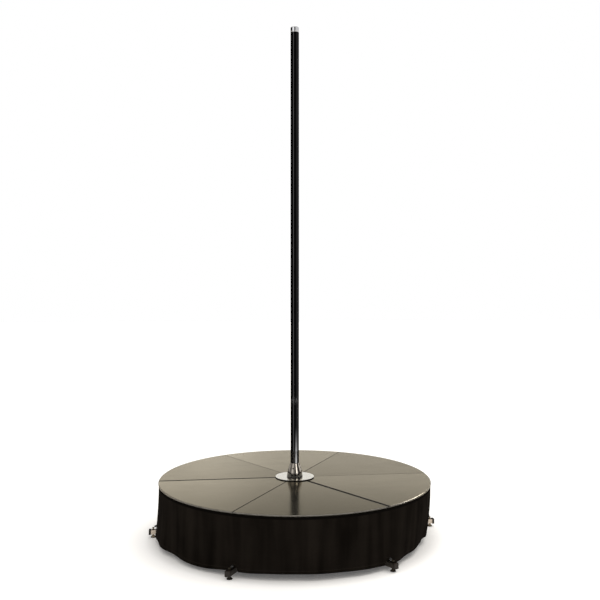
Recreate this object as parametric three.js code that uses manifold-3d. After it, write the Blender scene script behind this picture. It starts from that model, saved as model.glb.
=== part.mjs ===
// Free-standing round stage with a spinning dance pole, in millimetres, +Z up.
// The origin is on the floor, on the pole's axis. Arm 1 lies along +X.
import * as THREE from 'three';
import { mergeVertices } from 'three/addons/utils/BufferGeometryUtils.js';
import Module from 'manifold-3d';

const wasm = await Module();
wasm.setup();

// Stage
const armCount = 6;
const deckTop = 325;
const deckRadius = 800;
const deckThickness = 18;

// Clearances
const seatGap = 0.3;
const cutOverrun = 2;
const weldDepth = 1;

// Deck panels
const seamGap = 1.6;
const nosingHeight = 7;
const nosingRound = 5;
const skirtRebate = 4;
const deckHoleClearance = 3;
const battenWidth = 40;
const battenHeight = 18;
const battenSideGap = 8;
const battenPlaceShares = [0.42, 0.78];
const deckSides = 96;

// Pole
const poleRise = 2680;
const poleRadius = 25;
const poleWall = 2.5;
const poleCapHeight = 31;
const poleCapRound = 4;
const poleCapPlug = 24;
const joinerLength = 220;
const joinerWall = 5;
const joinerSlit = 3;
const poleSides = 24;

// Spindle that carries the pole
const spindleBore = 14;
const spindleShoulder = 3;
const spindleTail = 4;
const spigotLength = 110;
const spigotLead = 3;
const poleSeatDepth = 6;

// Ball bearings
const bearingSection = 11;
const bearingWidth = 12;
const raceThickness = 2.8;
const raceGap = 0.6;
const ballRadius = 3.4;
const ballCount = 10;
const cageThickness = 1.6;
const cageHeight = 3;
const grooveFloorShare = 0.47;
const grooveMouthShare = 0.8;
const ballSides = 5;
const ballRings = 4;
const bearingSides = 24;

// Hub, with the circle of the arms' pins
const pinCircle = 105;
const pinEdgeDistance = 17;
const hubPlateRadius = pinCircle + pinEdgeDistance;
const hubPlateThickness = 6;
const neckWall = 4.7;
const neckRise = 14;
const bearingLedge = 6;
const gussetThickness = 6;
const gussetInset = 8;
const gussetHoleRadius = 19;
const gussetHoleSides = 10;
const hubSides = 24;

// Cover plate and collar
const coverRadius = 115;
const coverThickness = 5;
const coverRound = 1.5;
const coverSides = 40;
const collarHeight = 80;
const collarFootWall = 5.7;
const collarMouthWall = 1.2;
const collarRunningGap = 0.8;
const collarLipRelief = 1;
const collarLipWidth = 4;
const collarHeightShares = [0, 0.15, 0.39, 0.66, 1];
const collarInsetShares = [0, 0.05, 0.2, 0.56, 1];
const collarSteps = 6;
const collarSides = 24;

// Lock screws in the collar
const lockScrewCount = 2;
const lockScrewRadius = 4;
const lockScrewLength = 6;
const lockScrewTravel = 2.5;
const lockScrewRise = 51;
const lockScrewAngle = 247.5;
const hexSocketRadius = 2.3;
const hexSocketDepth = 3;
const hexSides = 6;
const screwSides = 8;

// Truss arms
const tubeSize = 25;
const tubeWall = 2;
const bayCount = 3;
const pinTubeWall = 4.7;
const topRailInset = 22;
const postInset = 40;
const copeClearance = 2.5;

// Pins that lock the arms to the hub
const pinRadius = 6;
const pinHeadRadius = 10;
const pinHeadThickness = 2.7;
const pinTail = 3;
const pinChamfer = 1.5;
const pinSides = 12;

// Levelling feet
const footOverhang = 30;
const railOverhang = 52;
const bossWall = 3.7;
const footScrewRadius = 5;
const footTipRadius = 3.2;
const padRadius = 15;
const padHeight = 18.5;
const padRim = 3.5;
const padNeckWall = 2.3;
const padSocketDepth = 11;
const footTravel = 7;
const footStemSpare = 1;
const leverHubRadius = 6;
const leverHubHeight = 6;
const leverRadius = 2.2;
const leverReach = 12;
const leverRise = 8;
const knobLength = 15;
const knobRadius = 5.5;
const knobSocketShare = 0.4;
const leverAngles = [105, 60, -100, 180, 112.5, -127.5];
const knobSides = 8;
const knobRings = 5;

// Caps on the arms' outer ends
const armCapWall = 2.2;
const armCapGrip = 9;
const armCapEnd = 3;
const armCapRound = 3;
const armCapBevel = 1;

// Skirt, from the left arm round the front to the right arm, and back again
const clothThickness = 2;
const skirtBandHeight = 16;
const hemHeight = 28;
const slitTopHalf = 1.5;
const slitHemHalf = 20;
const notchSideGap = 4;
const notchTopGap = 6;
const foldDepth = 4.5;
const foldCount = 9;
const foldWander = 0.32;
const skirtColumns = 48;
const skirtRows = 5;
const frontFlareShares = [
  0.018, 0.017, 0.013, 0.009, 0.003, -0.002, 0, 0.003, 0.006, -0.016, -0.036, -0.028, 0,
];
const rearFlareShares = [
  0.02, 0.006, -0.008, 0.003, 0.004, -0.01, -0.004, 0.004, 0.003, -0.008, 0.002, 0.01, 0.016,
];
const frontLiftShares = [0.01, 0, -0.01, -0.03, 0, 0.015, 0.02, 0.01, -0.005, 0.02, 0.05, 0.045, 0.005];
const rearLiftShares = [-0.005, 0.01, 0.02, 0, 0.01, 0.02, 0.01, 0, 0.01, 0.02, 0.01, 0, 0.01];

// Heights and radii that follow from the values above
const deckUnderside = deckTop - deckThickness;
const frameTop = deckUnderside - seatGap;
const railBottom = padHeight + seatGap;
const railTop = railBottom + tubeSize;
const hubFloorTop = railBottom - seatGap;
const hubFloorBottom = hubFloorTop - hubPlateThickness;
const hubRoofBottom = frameTop - hubPlateThickness;
const journalRadius = poleRadius - seatGap;
const bearingOuter = poleRadius + bearingSection;
const neckBore = bearingOuter + seatGap;
const neckRadius = neckBore + neckWall;
const coverBottom = deckTop + seatGap;
const coverTop = coverBottom + coverThickness;
const neckTop = coverTop + neckRise;
const lowerBearingBottom = hubFloorTop + seatGap;
const lowerBearingTop = lowerBearingBottom + bearingWidth;
const upperBearingBottom = neckTop - bearingWidth;
const collarBottom = coverTop + seatGap;
const collarTop = collarBottom + collarHeight;
const collarSocket = neckRadius + seatGap;
const collarBase = collarSocket + collarFootWall;
const collarBore = poleRadius + collarRunningGap;
const collarMouth = collarBore + collarMouthWall;
const poleBottom = collarTop - poleSeatDepth;
const poleTop = deckTop + poleRise;
const poleTubeTop = poleTop - poleCapHeight - seatGap;
const poleJoint = (poleBottom + poleTubeTop) / 2;
const poleBore = poleRadius - poleWall;
const plugRadius = poleBore - seatGap;
const railEnd = deckRadius + railOverhang;
const footRadius = deckRadius + footOverhang;
const pinHole = pinRadius + seatGap;
const pinTubeRadius = pinHole + pinTubeWall;
const skirtTop = deckTop - nosingHeight - seatGap;
const skirtInner = (deckRadius - skirtRebate + seatGap) / Math.cos(Math.PI / 2 / skirtColumns);

// Solids
function solid(geometry) {
  const bare = new THREE.BufferGeometry();
  bare.setAttribute('position', geometry.getAttribute('position'));
  bare.setIndex(geometry.getIndex());
  const merged = mergeVertices(bare);
  const points = merged.getAttribute('position').array;
  const corners = merged.getIndex().array;
  const triangles = [];
  let volume = 0;
  for (let i = 0; i < corners.length; i += 3) {
    const [a, b, c] = [corners[i], corners[i + 1], corners[i + 2]];
    if (a === b || b === c || c === a) {
      continue;
    }
    triangles.push([a, b, c]);
    const [pa, pb, pc] = [a, b, c].map((n) => new THREE.Vector3().fromArray(points, n * 3));
    volume += pa.dot(pb.cross(pc));
  }
  if (volume < 0) {
    triangles.forEach((triangle) => triangle.reverse());
  }
  return new wasm.Manifold(new wasm.Mesh({
    numProp: 3,
    vertProperties: new Float32Array(points),
    triVerts: new Uint32Array(triangles.flat()),
  }));
}

function shell(body) {
  const { vertProperties, triVerts } = body.getMesh();
  const geometry = new THREE.BufferGeometry();
  geometry.setAttribute('position', new THREE.BufferAttribute(vertProperties, 3));
  geometry.setIndex(new THREE.BufferAttribute(triVerts, 1));
  geometry.computeVertexNormals();
  return geometry;
}

function turned(profile, sides) {
  const points = profile.map(([radius, height]) => new THREE.Vector2(radius, height));
  const [first, last] = [points[0], points[points.length - 1]];
  if (first.x > 0 || last.x > 0) {
    points.push(first.clone());
  }
  return new THREE.LatheGeometry(points, sides).rotateX(Math.PI / 2);
}

function rod(radius, bottom, top, sides) {
  return turned([[0, bottom], [radius, bottom], [radius, top], [0, top]], sides);
}

function pipe(bore, radius, bottom, top, sides) {
  return turned([[bore, bottom], [radius, bottom], [radius, top], [bore, top]], sides);
}

function block(low, high) {
  const [x, y, z] = low.map((value, axis) => high[axis] - value);
  const middle = low.map((value, axis) => (value + high[axis]) / 2);
  return new THREE.BoxGeometry(x, y, z).translate(...middle);
}

function prism(outline, bottom, top) {
  const shape = new THREE.Shape(outline.map(([x, y]) => new THREE.Vector2(x, y)));
  const flat = new THREE.ExtrudeGeometry(shape, { depth: top - bottom, bevelEnabled: false });
  return flat.translate(0, 0, bottom);
}

function joined(geometries) {
  return geometries.map(solid).reduce((whole, body) => whole.add(body));
}

function turnedBy(geometry, degrees) {
  return geometry.rotateZ(THREE.MathUtils.degToRad(degrees));
}

// Materials
const finishes = {
  laminate: { color: 0x3a3833, roughness: 0.22, metalness: 0 },
  cloth: { color: 0x141312, roughness: 0.75, metalness: 0 },
  glossBlack: { color: 0x0c0c0d, roughness: 0.12, metalness: 0.1 },
  chrome: { color: 0xd8d8d6, roughness: 0.12, metalness: 1 },
  satinSteel: { color: 0xc9c8c2, roughness: 0.3, metalness: 1 },
  zinc: { color: 0xa9a69c, roughness: 0.42, metalness: 1 },
  darkSteel: { color: 0x6d6a60, roughness: 0.45, metalness: 1 },
  brownPlastic: { color: 0x3f342c, roughness: 0.5, metalness: 0 },
  blackPlastic: { color: 0x161616, roughness: 0.35, metalness: 0 },
};
const materials = Object.fromEntries(
  Object.entries(finishes).map(([name, look]) => [name, new THREE.MeshStandardMaterial(look)]),
);

function piece(name, geometry, finish) {
  const mesh = new THREE.Mesh(geometry, materials[finish]);
  mesh.name = name;
  return mesh;
}

// Deck panel: one wedge of the floor, centred on +X, with two battens below
function deckPanelGeometry() {
  const half = Math.PI / armCount;
  const bodyRadius = deckRadius - skirtRebate;
  const round = Math.min(nosingRound, nosingHeight);
  const ease = round * (1 - Math.SQRT1_2);
  const profile = [
    [neckRadius + deckHoleClearance, deckUnderside],
    [bodyRadius, deckUnderside],
    [bodyRadius, deckTop - nosingHeight],
    [deckRadius, deckTop - nosingHeight],
    [deckRadius, deckTop - round],
    [deckRadius - ease, deckTop - ease],
    [deckRadius - round, deckTop],
    [neckRadius + deckHoleClearance, deckTop],
  ];
  const apex = seamGap / 2 / Math.sin(half);
  const reach = (deckRadius + cutOverrun) / Math.cos(half);
  const spread = (reach - apex) * Math.tan(half);
  const wedge = [[apex, 0], [reach, -spread], [reach, spread]];
  const cutter = prism(wedge, deckUnderside - cutOverrun, deckTop + cutOverrun);
  const panel = solid(turned(profile, deckSides)).intersect(solid(cutter));
  const sideGap = (tubeSize / 2 + battenSideGap) / Math.cos(half);
  const battens = battenPlaceShares.map((share) => {
    const [near, far] = [-1, 1].map((side) => share * deckRadius + side * battenWidth / 2);
    const [nearHalf, farHalf] = [near, far].map((x) => x * Math.tan(half) - sideGap);
    const outline = [[near, -nearHalf], [far, -farHalf], [far, farHalf], [near, nearHalf]];
    return solid(prism(outline, deckUnderside - battenHeight, deckUnderside + weldDepth));
  });
  return shell(battens.reduce((whole, batten) => whole.add(batten), panel));
}

// Truss arm along +X: square tubes, a tube for the hub pin and a boss for the foot screw
function armGeometry() {
  const outerPost = deckRadius - postInset;
  const bay = (outerPost - pinCircle) / bayCount;
  const low = railBottom + tubeSize / 2;
  const high = frameTop - tubeSize / 2;
  const topRailEnd = deckRadius - topRailInset;
  const members = [[pinCircle, low, railEnd, low], [pinCircle, high, topRailEnd, high]];
  for (let i = 1; i <= bayCount; i += 1) {
    const x = pinCircle + i * bay;
    members.push([x, low, x, high], [x - bay, low, x, high]);
  }
  const bars = (size, spare) => members.map(([x0, z0, x1, z1]) => {
    const run = new THREE.Vector2(x1 - x0, z1 - z0);
    const bar = new THREE.BoxGeometry(run.length() + spare, size, size).translate(spare / 2, 0, 0);
    return bar.rotateY(-run.angle()).translate((x0 + x1) / 2, 0, (z0 + z1) / 2);
  });
  const bossRadius = footScrewRadius + seatGap + bossWall;
  const roofGap = hubRoofBottom - seatGap;
  const pinTube = rod(pinTubeRadius, railBottom, roofGap, pinSides);
  const boss = rod(bossRadius, railBottom, railTop, pinSides).translate(footRadius, 0, 0);
  const holeBottom = railBottom - cutOverrun;
  const bossBore = rod(footScrewRadius + seatGap, holeBottom, railTop + cutOverrun, pinSides);
  const pinBore = rod(pinHole, holeBottom, frameTop + cutOverrun, pinSides);
  const cope = block(
    [0, -tubeSize, roofGap],
    [hubPlateRadius + copeClearance, tubeSize, frameTop + cutOverrun],
  );
  const hollow = joined(bars(tubeSize - 2 * tubeWall, cutOverrun));
  return shell(joined(bars(tubeSize, 0))
    .subtract(hollow)
    .add(solid(pinTube.translate(pinCircle, 0, 0)))
    .add(solid(boss))
    .subtract(solid(bossBore.translate(footRadius, 0, 0)))
    .subtract(solid(pinBore.translate(pinCircle, 0, 0)))
    .subtract(solid(cope)));
}

function armPinGeometry() {
  const headBottom = frameTop - pinHeadThickness;
  const tail = hubFloorBottom - pinTail;
  return shell(solid(turned([
    [0, tail],
    [pinRadius - pinChamfer, tail],
    [pinRadius, tail + pinChamfer],
    [pinRadius, headBottom],
    [pinHeadRadius, headBottom],
    [pinHeadRadius, frameTop],
    [0, frameTop],
  ], pinSides)));
}

// Cap pushed over the open end of the bottom rail
function armCapGeometry() {
  const half = tubeSize / 2 + seatGap + armCapWall - armCapBevel;
  const corner = armCapRound;
  const outline = new THREE.Shape();
  outline.moveTo(half - corner, -half);
  outline.absarc(half - corner, corner - half, corner, -Math.PI / 2, 0);
  outline.absarc(half - corner, half - corner, corner, 0, Math.PI / 2);
  outline.absarc(corner - half, half - corner, corner, Math.PI / 2, Math.PI);
  outline.absarc(corner - half, corner - half, corner, Math.PI, 1.5 * Math.PI);
  const length = armCapGrip + seatGap + armCapEnd;
  const body = new THREE.ExtrudeGeometry(outline, {
    depth: length - 2 * armCapBevel,
    bevelSize: armCapBevel,
    bevelThickness: armCapBevel,
    bevelSegments: 1,
    curveSegments: 2,
  });
  body.translate(0, 0, armCapBevel).rotateY(Math.PI / 2);
  const pocket = tubeSize / 2 + seatGap;
  const mouth = block([-cutOverrun, -pocket, -pocket], [armCapGrip + seatGap, pocket, pocket]);
  const cap = shell(solid(body).subtract(solid(mouth)));
  return cap.translate(railEnd - armCapGrip, 0, railBottom + tubeSize / 2);
}

// Levelling foot, about its own axis
function footPadGeometry() {
  const socket = footTipRadius + seatGap;
  return shell(solid(turned([
    [0, 0],
    [padRadius, 0],
    [padRadius, padRim],
    [socket + padNeckWall, padHeight],
    [socket, padHeight],
    [socket, padHeight - padSocketDepth],
    [0, padHeight - padSocketDepth],
  ], pinSides)));
}

const leverHubBottom = railTop + footTravel + footStemSpare;
const leverHubTop = leverHubBottom + leverHubHeight;
const leverStart = leverHubBottom + leverHubHeight / 2;
const leverTilt = Math.atan2(leverRise, leverReach);

function alongLever(geometry, distance) {
  geometry.translate(distance, 0, 0).rotateY(-leverTilt);
  return geometry.translate(0, 0, leverStart);
}

function leverRod(radius) {
  const length = Math.hypot(leverReach, leverRise);
  const round = new THREE.CylinderGeometry(radius, radius, length, screwSides).rotateZ(Math.PI / 2);
  return alongLever(round, length / 2);
}

function footScrewGeometry() {
  const hubEdge = leverHubRadius - footTipRadius / 2;
  const stem = turned([
    [0, padHeight - padSocketDepth + seatGap],
    [footTipRadius, padHeight - padSocketDepth + seatGap],
    [footTipRadius, railBottom],
    [footScrewRadius, railBottom],
    [footScrewRadius, leverHubBottom],
    [leverHubRadius, leverHubBottom],
    [leverHubRadius, leverStart],
    [hubEdge, leverHubTop],
    [0, leverHubTop],
  ], screwSides);
  return shell(solid(stem).add(solid(leverRod(leverRadius))));
}

function footKnobGeometry() {
  const ball = new THREE.SphereGeometry(knobRadius, knobSides, knobRings).rotateZ(Math.PI / 2);
  ball.scale(knobLength / 2 / knobRadius, 1, 1);
  const middle = Math.hypot(leverReach, leverRise) + knobLength / 2 - knobLength * knobSocketShare;
  const socketLength = knobLength * knobSocketShare + seatGap + cutOverrun;
  const hole = leverRadius + seatGap;
  const socket = new THREE.CylinderGeometry(hole, hole, socketLength, screwSides).rotateZ(Math.PI / 2);
  const socketEnd = Math.hypot(leverReach, leverRise) + seatGap;
  const knob = solid(alongLever(ball, middle));
  return shell(knob.subtract(solid(alongLever(socket, socketEnd - socketLength / 2))));
}

// Hub: floor and roof plates on a central tube, with gussets between the arms
function hubGeometry() {
  const body = solid(turned([
    [neckBore - bearingLedge, hubFloorBottom],
    [hubPlateRadius, hubFloorBottom],
    [hubPlateRadius, hubFloorTop],
    [neckRadius, hubFloorTop],
    [neckRadius, hubRoofBottom],
    [hubPlateRadius, hubRoofBottom],
    [hubPlateRadius, frameTop],
    [neckRadius, frameTop],
    [neckRadius, neckTop],
    [neckBore, neckTop],
    [neckBore, hubFloorTop],
    [neckBore - bearingLedge, hubFloorTop],
  ], hubSides));
  const gussetEnd = hubPlateRadius - gussetInset;
  const middle = (neckRadius + gussetEnd) / 2;
  const halfHeight = (hubFloorTop + hubRoofBottom) / 2;
  const window = rod(gussetHoleRadius, -gussetThickness, gussetThickness, gussetHoleSides);
  window.rotateX(Math.PI / 2).translate(middle, 0, halfHeight);
  const gusset = solid(block(
    [neckRadius - weldDepth, -gussetThickness / 2, hubFloorTop - weldDepth],
    [gussetEnd, gussetThickness / 2, hubRoofBottom + weldDepth],
  )).subtract(solid(window));
  const hole = rod(pinHole, hubFloorBottom - cutOverrun, frameTop + cutOverrun, pinSides);
  const headFloor = frameTop - pinHeadThickness - seatGap;
  const recess = rod(pinHeadRadius + seatGap, headFloor, frameTop + cutOverrun, pinSides);
  const cutter = joined([hole.translate(pinCircle, 0, 0), recess.translate(pinCircle, 0, 0)]);
  let hub = body;
  for (let i = 0; i < armCount; i += 1) {
    const step = 360 / armCount;
    hub = hub.add(solid(turnedBy(shell(gusset), (i + 0.5) * step)));
    hub = hub.subtract(solid(turnedBy(shell(cutter), i * step)));
  }
  return shell(hub);
}

function coverPlateGeometry() {
  return shell(solid(turned([
    [neckRadius + seatGap, coverBottom],
    [coverRadius, coverBottom],
    [coverRadius, coverTop - coverRound],
    [coverRadius - coverRound, coverTop],
    [neckRadius + seatGap, coverTop],
  ], coverSides)));
}

// Conical collar: socket over the hub's neck, lip over the bearing, bore round the spindle
function collarGeometry() {
  const drop = collarBase - collarMouth;
  const knots = collarHeightShares.map((share, i) => (
    new THREE.Vector2(collarBase - collarInsetShares[i] * drop, collarBottom + share * collarHeight)
  ));
  const flank = new THREE.SplineCurve(knots).getPoints(collarSteps).map((point) => [point.x, point.y]);
  const lipUnder = neckTop + seatGap;
  const body = solid(turned([
    ...flank,
    [collarBore, collarTop],
    [collarBore, lipUnder + collarLipRelief],
    [bearingOuter - collarLipWidth, lipUnder + collarLipRelief],
    [bearingOuter - collarLipWidth, lipUnder],
    [collarSocket, lipUnder],
    [collarSocket, collarBottom],
  ], collarSides));
  const hole = new THREE.CylinderGeometry(
    lockScrewRadius + seatGap,
    lockScrewRadius + seatGap,
    collarBase,
    screwSides,
  );
  const middle = (collarBase + journalRadius) / 2;
  hole.rotateZ(Math.PI / 2).translate(middle, 0, collarBottom + lockScrewRise);
  let collar = body;
  for (let i = 0; i < lockScrewCount; i += 1) {
    const degrees = lockScrewAngle + i * 360 / lockScrewCount;
    collar = collar.subtract(solid(turnedBy(hole.clone(), degrees)));
  }
  return shell(collar);
}

// Lock screw, pointing at the axis from +X, backed off by its travel
function lockScrewGeometry() {
  const tip = journalRadius + seatGap + lockScrewTravel;
  const height = collarBottom + lockScrewRise;
  const radius = lockScrewRadius;
  const body = new THREE.CylinderGeometry(radius, radius, lockScrewLength, screwSides);
  body.rotateZ(Math.PI / 2).translate(tip + lockScrewLength / 2, 0, height);
  const socket = new THREE.CylinderGeometry(
    hexSocketRadius,
    hexSocketRadius,
    2 * hexSocketDepth,
    hexSides,
  );
  socket.rotateZ(Math.PI / 2).translate(tip + lockScrewLength, 0, height);
  return shell(solid(body).subtract(solid(socket)));
}

// Ball bearing: outer ring, inner ring, and the balls on their cage
const ballCircle = poleRadius + bearingSection / 2;

function raceGeometry(bottom, side) {
  const back = ballCircle + side * bearingSection / 2;
  const land = back - side * raceThickness;
  const floor = ballCircle + side * (ballRadius + raceGap);
  const middle = bottom + bearingWidth / 2;
  const mouthHalf = ballRadius * grooveMouthShare;
  const floorHalf = ballRadius * grooveFloorShare;
  return shell(solid(turned([
    [back, bottom],
    [back, bottom + bearingWidth],
    [land, bottom + bearingWidth],
    [land, middle + mouthHalf],
    [floor, middle + floorHalf],
    [floor, middle - floorHalf],
    [land, middle - mouthHalf],
    [land, bottom],
  ], bearingSides)));
}

function ballSetGeometry(bottom) {
  const middle = bottom + bearingWidth / 2;
  const [inside, outside] = [-1, 1].map((side) => ballCircle + side * cageThickness / 2);
  const [low, high] = [-1, 1].map((side) => middle + side * cageHeight / 2);
  let set = solid(pipe(inside, outside, low, high, 2 * ballCount));
  for (let i = 0; i < ballCount; i += 1) {
    const ball = new THREE.SphereGeometry(ballRadius, ballSides, ballRings);
    ball.rotateX(Math.PI / 2).translate(ballCircle, 0, middle);
    set = set.add(solid(turnedBy(ball, i * 360 / ballCount)));
  }
  return shell(set);
}

// Spindle: journals in both bearings, a thicker middle, and a spigot inside the pole
function spindleGeometry() {
  const tail = lowerBearingBottom - spindleTail;
  const shoulderBottom = lowerBearingTop + seatGap;
  const shoulderTop = upperBearingBottom - seatGap;
  const middleRadius = journalRadius + spindleShoulder;
  const seat = poleBottom - seatGap;
  const spigotTop = seat + spigotLength;
  return shell(solid(turned([
    [spindleBore, tail],
    [journalRadius, tail],
    [journalRadius, shoulderBottom],
    [middleRadius, shoulderBottom],
    [middleRadius, shoulderTop],
    [journalRadius, shoulderTop],
    [journalRadius, seat],
    [plugRadius, seat],
    [plugRadius, spigotTop - spigotLead],
    [plugRadius - spigotLead / 2, spigotTop],
    [spindleBore, spigotTop],
  ], poleSides)));
}

function poleTubeGeometry(bottom, top) {
  return shell(solid(pipe(poleBore, poleRadius, bottom, top, poleSides)));
}

function poleJoinerGeometry() {
  const [bottom, top] = [-1, 1].map((side) => poleJoint + side * joinerLength / 2);
  const sleeve = pipe(plugRadius - joinerWall, plugRadius, bottom, top, poleSides);
  const slit = block(
    [0, -joinerSlit / 2, bottom - cutOverrun],
    [poleRadius, joinerSlit / 2, top + cutOverrun],
  );
  return shell(solid(sleeve).subtract(solid(slit)));
}

function poleCapGeometry() {
  const rim = poleTop - poleCapHeight;
  const round = Math.min(poleCapRound, poleCapHeight);
  const ease = round * (1 - Math.SQRT1_2);
  return shell(solid(turned([
    [0, rim - poleCapPlug],
    [plugRadius, rim - poleCapPlug],
    [plugRadius, rim],
    [poleRadius, rim],
    [poleRadius, poleTop - round],
    [poleRadius - ease, poleTop - ease],
    [poleRadius - round, poleTop],
    [0, poleTop],
  ], poleSides)));
}

// Hanging skirt over one half of the stage, with its main folds
function valueAlong(shares, position) {
  const place = position * (shares.length - 1);
  const left = Math.min(Math.floor(place), shares.length - 2);
  const ease = (1 - Math.cos((place - left) * Math.PI)) / 2;
  return shares[left] + (shares[left + 1] - shares[left]) * ease;
}

function skirtGeometry(startDegrees, flareShares, liftShares) {
  const drop = skirtTop - hemHeight;
  const positions = [];
  const corner = (column, row, side) => (column * (skirtRows + 1) + row) * 2 + side;
  for (let column = 0; column <= skirtColumns; column += 1) {
    for (let row = 0; row <= skirtRows; row += 1) {
      const across = column / skirtColumns;
      const hang = Math.max(0, row - 1) / (skirtRows - 1);
      const slitHalf = slitTopHalf + (slitHemHalf - slitTopHalf) * hang;
      const trim = slitHalf / deckRadius;
      const start = THREE.MathUtils.degToRad(startDegrees) + trim;
      const angle = start + across * (Math.PI - 2 * trim);
      const wave = foldCount * across + foldWander * Math.sin(3 * Math.PI * across);
      const fold = foldDepth * hang * Math.sin(2 * Math.PI * wave);
      const flare = valueAlong(flareShares, across) * deckRadius * hang * hang;
      const lift = valueAlong(liftShares, across) * drop;
      const band = row > 0 ? skirtBandHeight : 0;
      const height = skirtTop - band - hang * (drop - lift - band);
      for (const side of [0, 1]) {
        const radius = skirtInner + side * clothThickness + flare + fold;
        positions.push(radius * Math.cos(angle), radius * Math.sin(angle), height);
      }
    }
  }
  const indices = [];
  const quad = (a, b, c, d) => indices.push(a, b, c, a, c, d);
  for (let column = 0; column < skirtColumns; column += 1) {
    for (let row = 0; row < skirtRows; row += 1) {
      for (const side of [0, 1]) {
        const loop = [
          corner(column, row, side),
          corner(column, row + 1, side),
          corner(column + 1, row + 1, side),
          corner(column + 1, row, side),
        ];
        quad(...(side ? loop : loop.reverse()));
      }
    }
    for (const [row, flip] of [[0, true], [skirtRows, false]]) {
      const loop = [
        corner(column, row, 0),
        corner(column + 1, row, 0),
        corner(column + 1, row, 1),
        corner(column, row, 1),
      ];
      quad(...(flip ? loop.reverse() : loop));
    }
  }
  for (let row = 0; row < skirtRows; row += 1) {
    for (const [column, flip] of [[0, false], [skirtColumns, true]]) {
      const loop = [
        corner(column, row, 0),
        corner(column, row + 1, 0),
        corner(column, row + 1, 1),
        corner(column, row, 1),
      ];
      quad(...(flip ? loop.reverse() : loop));
    }
  }
  const cloth = new THREE.BufferGeometry();
  cloth.setAttribute('position', new THREE.Float32BufferAttribute(positions, 3));
  cloth.setIndex(indices);
  const notchHalf = tubeSize / 2 + notchSideGap;
  const notch = block([skirtInner / 2, -notchHalf, 0], [railEnd, notchHalf, railTop + notchTopGap]);
  let skirt = solid(cloth);
  for (let i = 0; i < armCount; i += 1) {
    skirt = skirt.subtract(solid(turnedBy(notch.clone(), i * 360 / armCount)));
  }
  return shell(skirt);
}

// Scene graph
const dancePole = new THREE.Group();
const arm = armGeometry();
const armPin = armPinGeometry();
const armCap = armCapGeometry();
const footPad = footPadGeometry();
const footScrew = footScrewGeometry();
const footKnob = footKnobGeometry();
const deckPanel = deckPanelGeometry();

for (let i = 0; i < armCount; i += 1) {
  const number = i + 1;
  const step = 2 * Math.PI / armCount;
  const spoke = new THREE.Group();
  spoke.rotation.z = i * step;
  spoke.add(piece(`arm_${number}`, arm, 'zinc'));
  spoke.add(piece(`arm_end_cap_${number}`, armCap, 'brownPlastic'));
  const pin = piece(`arm_pin_${number}`, armPin, 'zinc');
  pin.position.x = pinCircle;
  spoke.add(pin);
  const foot = new THREE.Group();
  foot.position.x = footRadius;
  foot.add(piece(`foot_pad_${number}`, footPad, 'darkSteel'));
  const crank = new THREE.Group();
  crank.rotation.z = THREE.MathUtils.degToRad(leverAngles[i % leverAngles.length]);
  crank.add(piece(`foot_screw_${number}`, footScrew, 'darkSteel'));
  crank.add(piece(`foot_knob_${number}`, footKnob, 'blackPlastic'));
  foot.add(crank);
  spoke.add(foot);
  dancePole.add(spoke);
  const panel = piece(`deck_panel_${number}`, deckPanel, 'laminate');
  panel.rotation.z = (i + 0.5) * step;
  dancePole.add(panel);
}

const base = new THREE.Group();
base.add(piece('hub', hubGeometry(), 'zinc'));
base.add(piece('cover_plate', coverPlateGeometry(), 'satinSteel'));
base.add(piece('collar', collarGeometry(), 'chrome'));
for (let i = 0; i < lockScrewCount; i += 1) {
  const screw = piece(`lock_screw_${i + 1}`, lockScrewGeometry(), 'darkSteel');
  screw.rotation.z = THREE.MathUtils.degToRad(lockScrewAngle + i * 360 / lockScrewCount);
  base.add(screw);
}
for (const [place, bottom] of [['lower', lowerBearingBottom], ['upper', upperBearingBottom]]) {
  base.add(piece(`${place}_bearing_outer_ring`, raceGeometry(bottom, 1), 'satinSteel'));
  base.add(piece(`${place}_bearing_inner_ring`, raceGeometry(bottom, -1), 'satinSteel'));
  base.add(piece(`${place}_bearing_balls`, ballSetGeometry(bottom), 'chrome'));
}
dancePole.add(base);

const pole = new THREE.Group();
pole.add(piece('spindle', spindleGeometry(), 'satinSteel'));
pole.add(piece('pole_lower', poleTubeGeometry(poleBottom, poleJoint - seatGap / 2), 'glossBlack'));
pole.add(piece('pole_joiner', poleJoinerGeometry(), 'satinSteel'));
pole.add(piece('pole_upper', poleTubeGeometry(poleJoint + seatGap / 2, poleTubeTop), 'glossBlack'));
pole.add(piece('pole_cap', poleCapGeometry(), 'chrome'));
dancePole.add(pole);

dancePole.add(piece('skirt_front', skirtGeometry(180, frontFlareShares, frontLiftShares), 'cloth'));
dancePole.add(piece('skirt_rear', skirtGeometry(0, rearFlareShares, rearLiftShares), 'cloth'));

export default dancePole;
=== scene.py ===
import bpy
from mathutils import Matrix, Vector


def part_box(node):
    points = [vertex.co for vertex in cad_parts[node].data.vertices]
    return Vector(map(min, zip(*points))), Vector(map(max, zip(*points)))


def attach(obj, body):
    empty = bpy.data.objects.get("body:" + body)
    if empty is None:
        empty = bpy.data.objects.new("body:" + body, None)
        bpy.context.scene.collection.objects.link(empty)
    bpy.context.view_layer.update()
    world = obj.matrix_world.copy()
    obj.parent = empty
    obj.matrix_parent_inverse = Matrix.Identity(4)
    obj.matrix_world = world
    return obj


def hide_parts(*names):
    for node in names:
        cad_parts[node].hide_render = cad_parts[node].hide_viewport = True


bl_info = {
    "name": "Round dance stage with spinning pole",
    "version": (1, 0, 0),
    "blender": (4, 5, 0),
    "location": "3D View > Sidebar > Dance Stage",
    "description": "Dresses the packed stage, skirt, feet and pole, and sets up the studio",
    "category": "Object",
}

import math

import bmesh
import bpy
from bpy.props import FloatProperty, FloatVectorProperty, IntProperty, PointerProperty
from mathutils import Matrix, Vector

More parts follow.
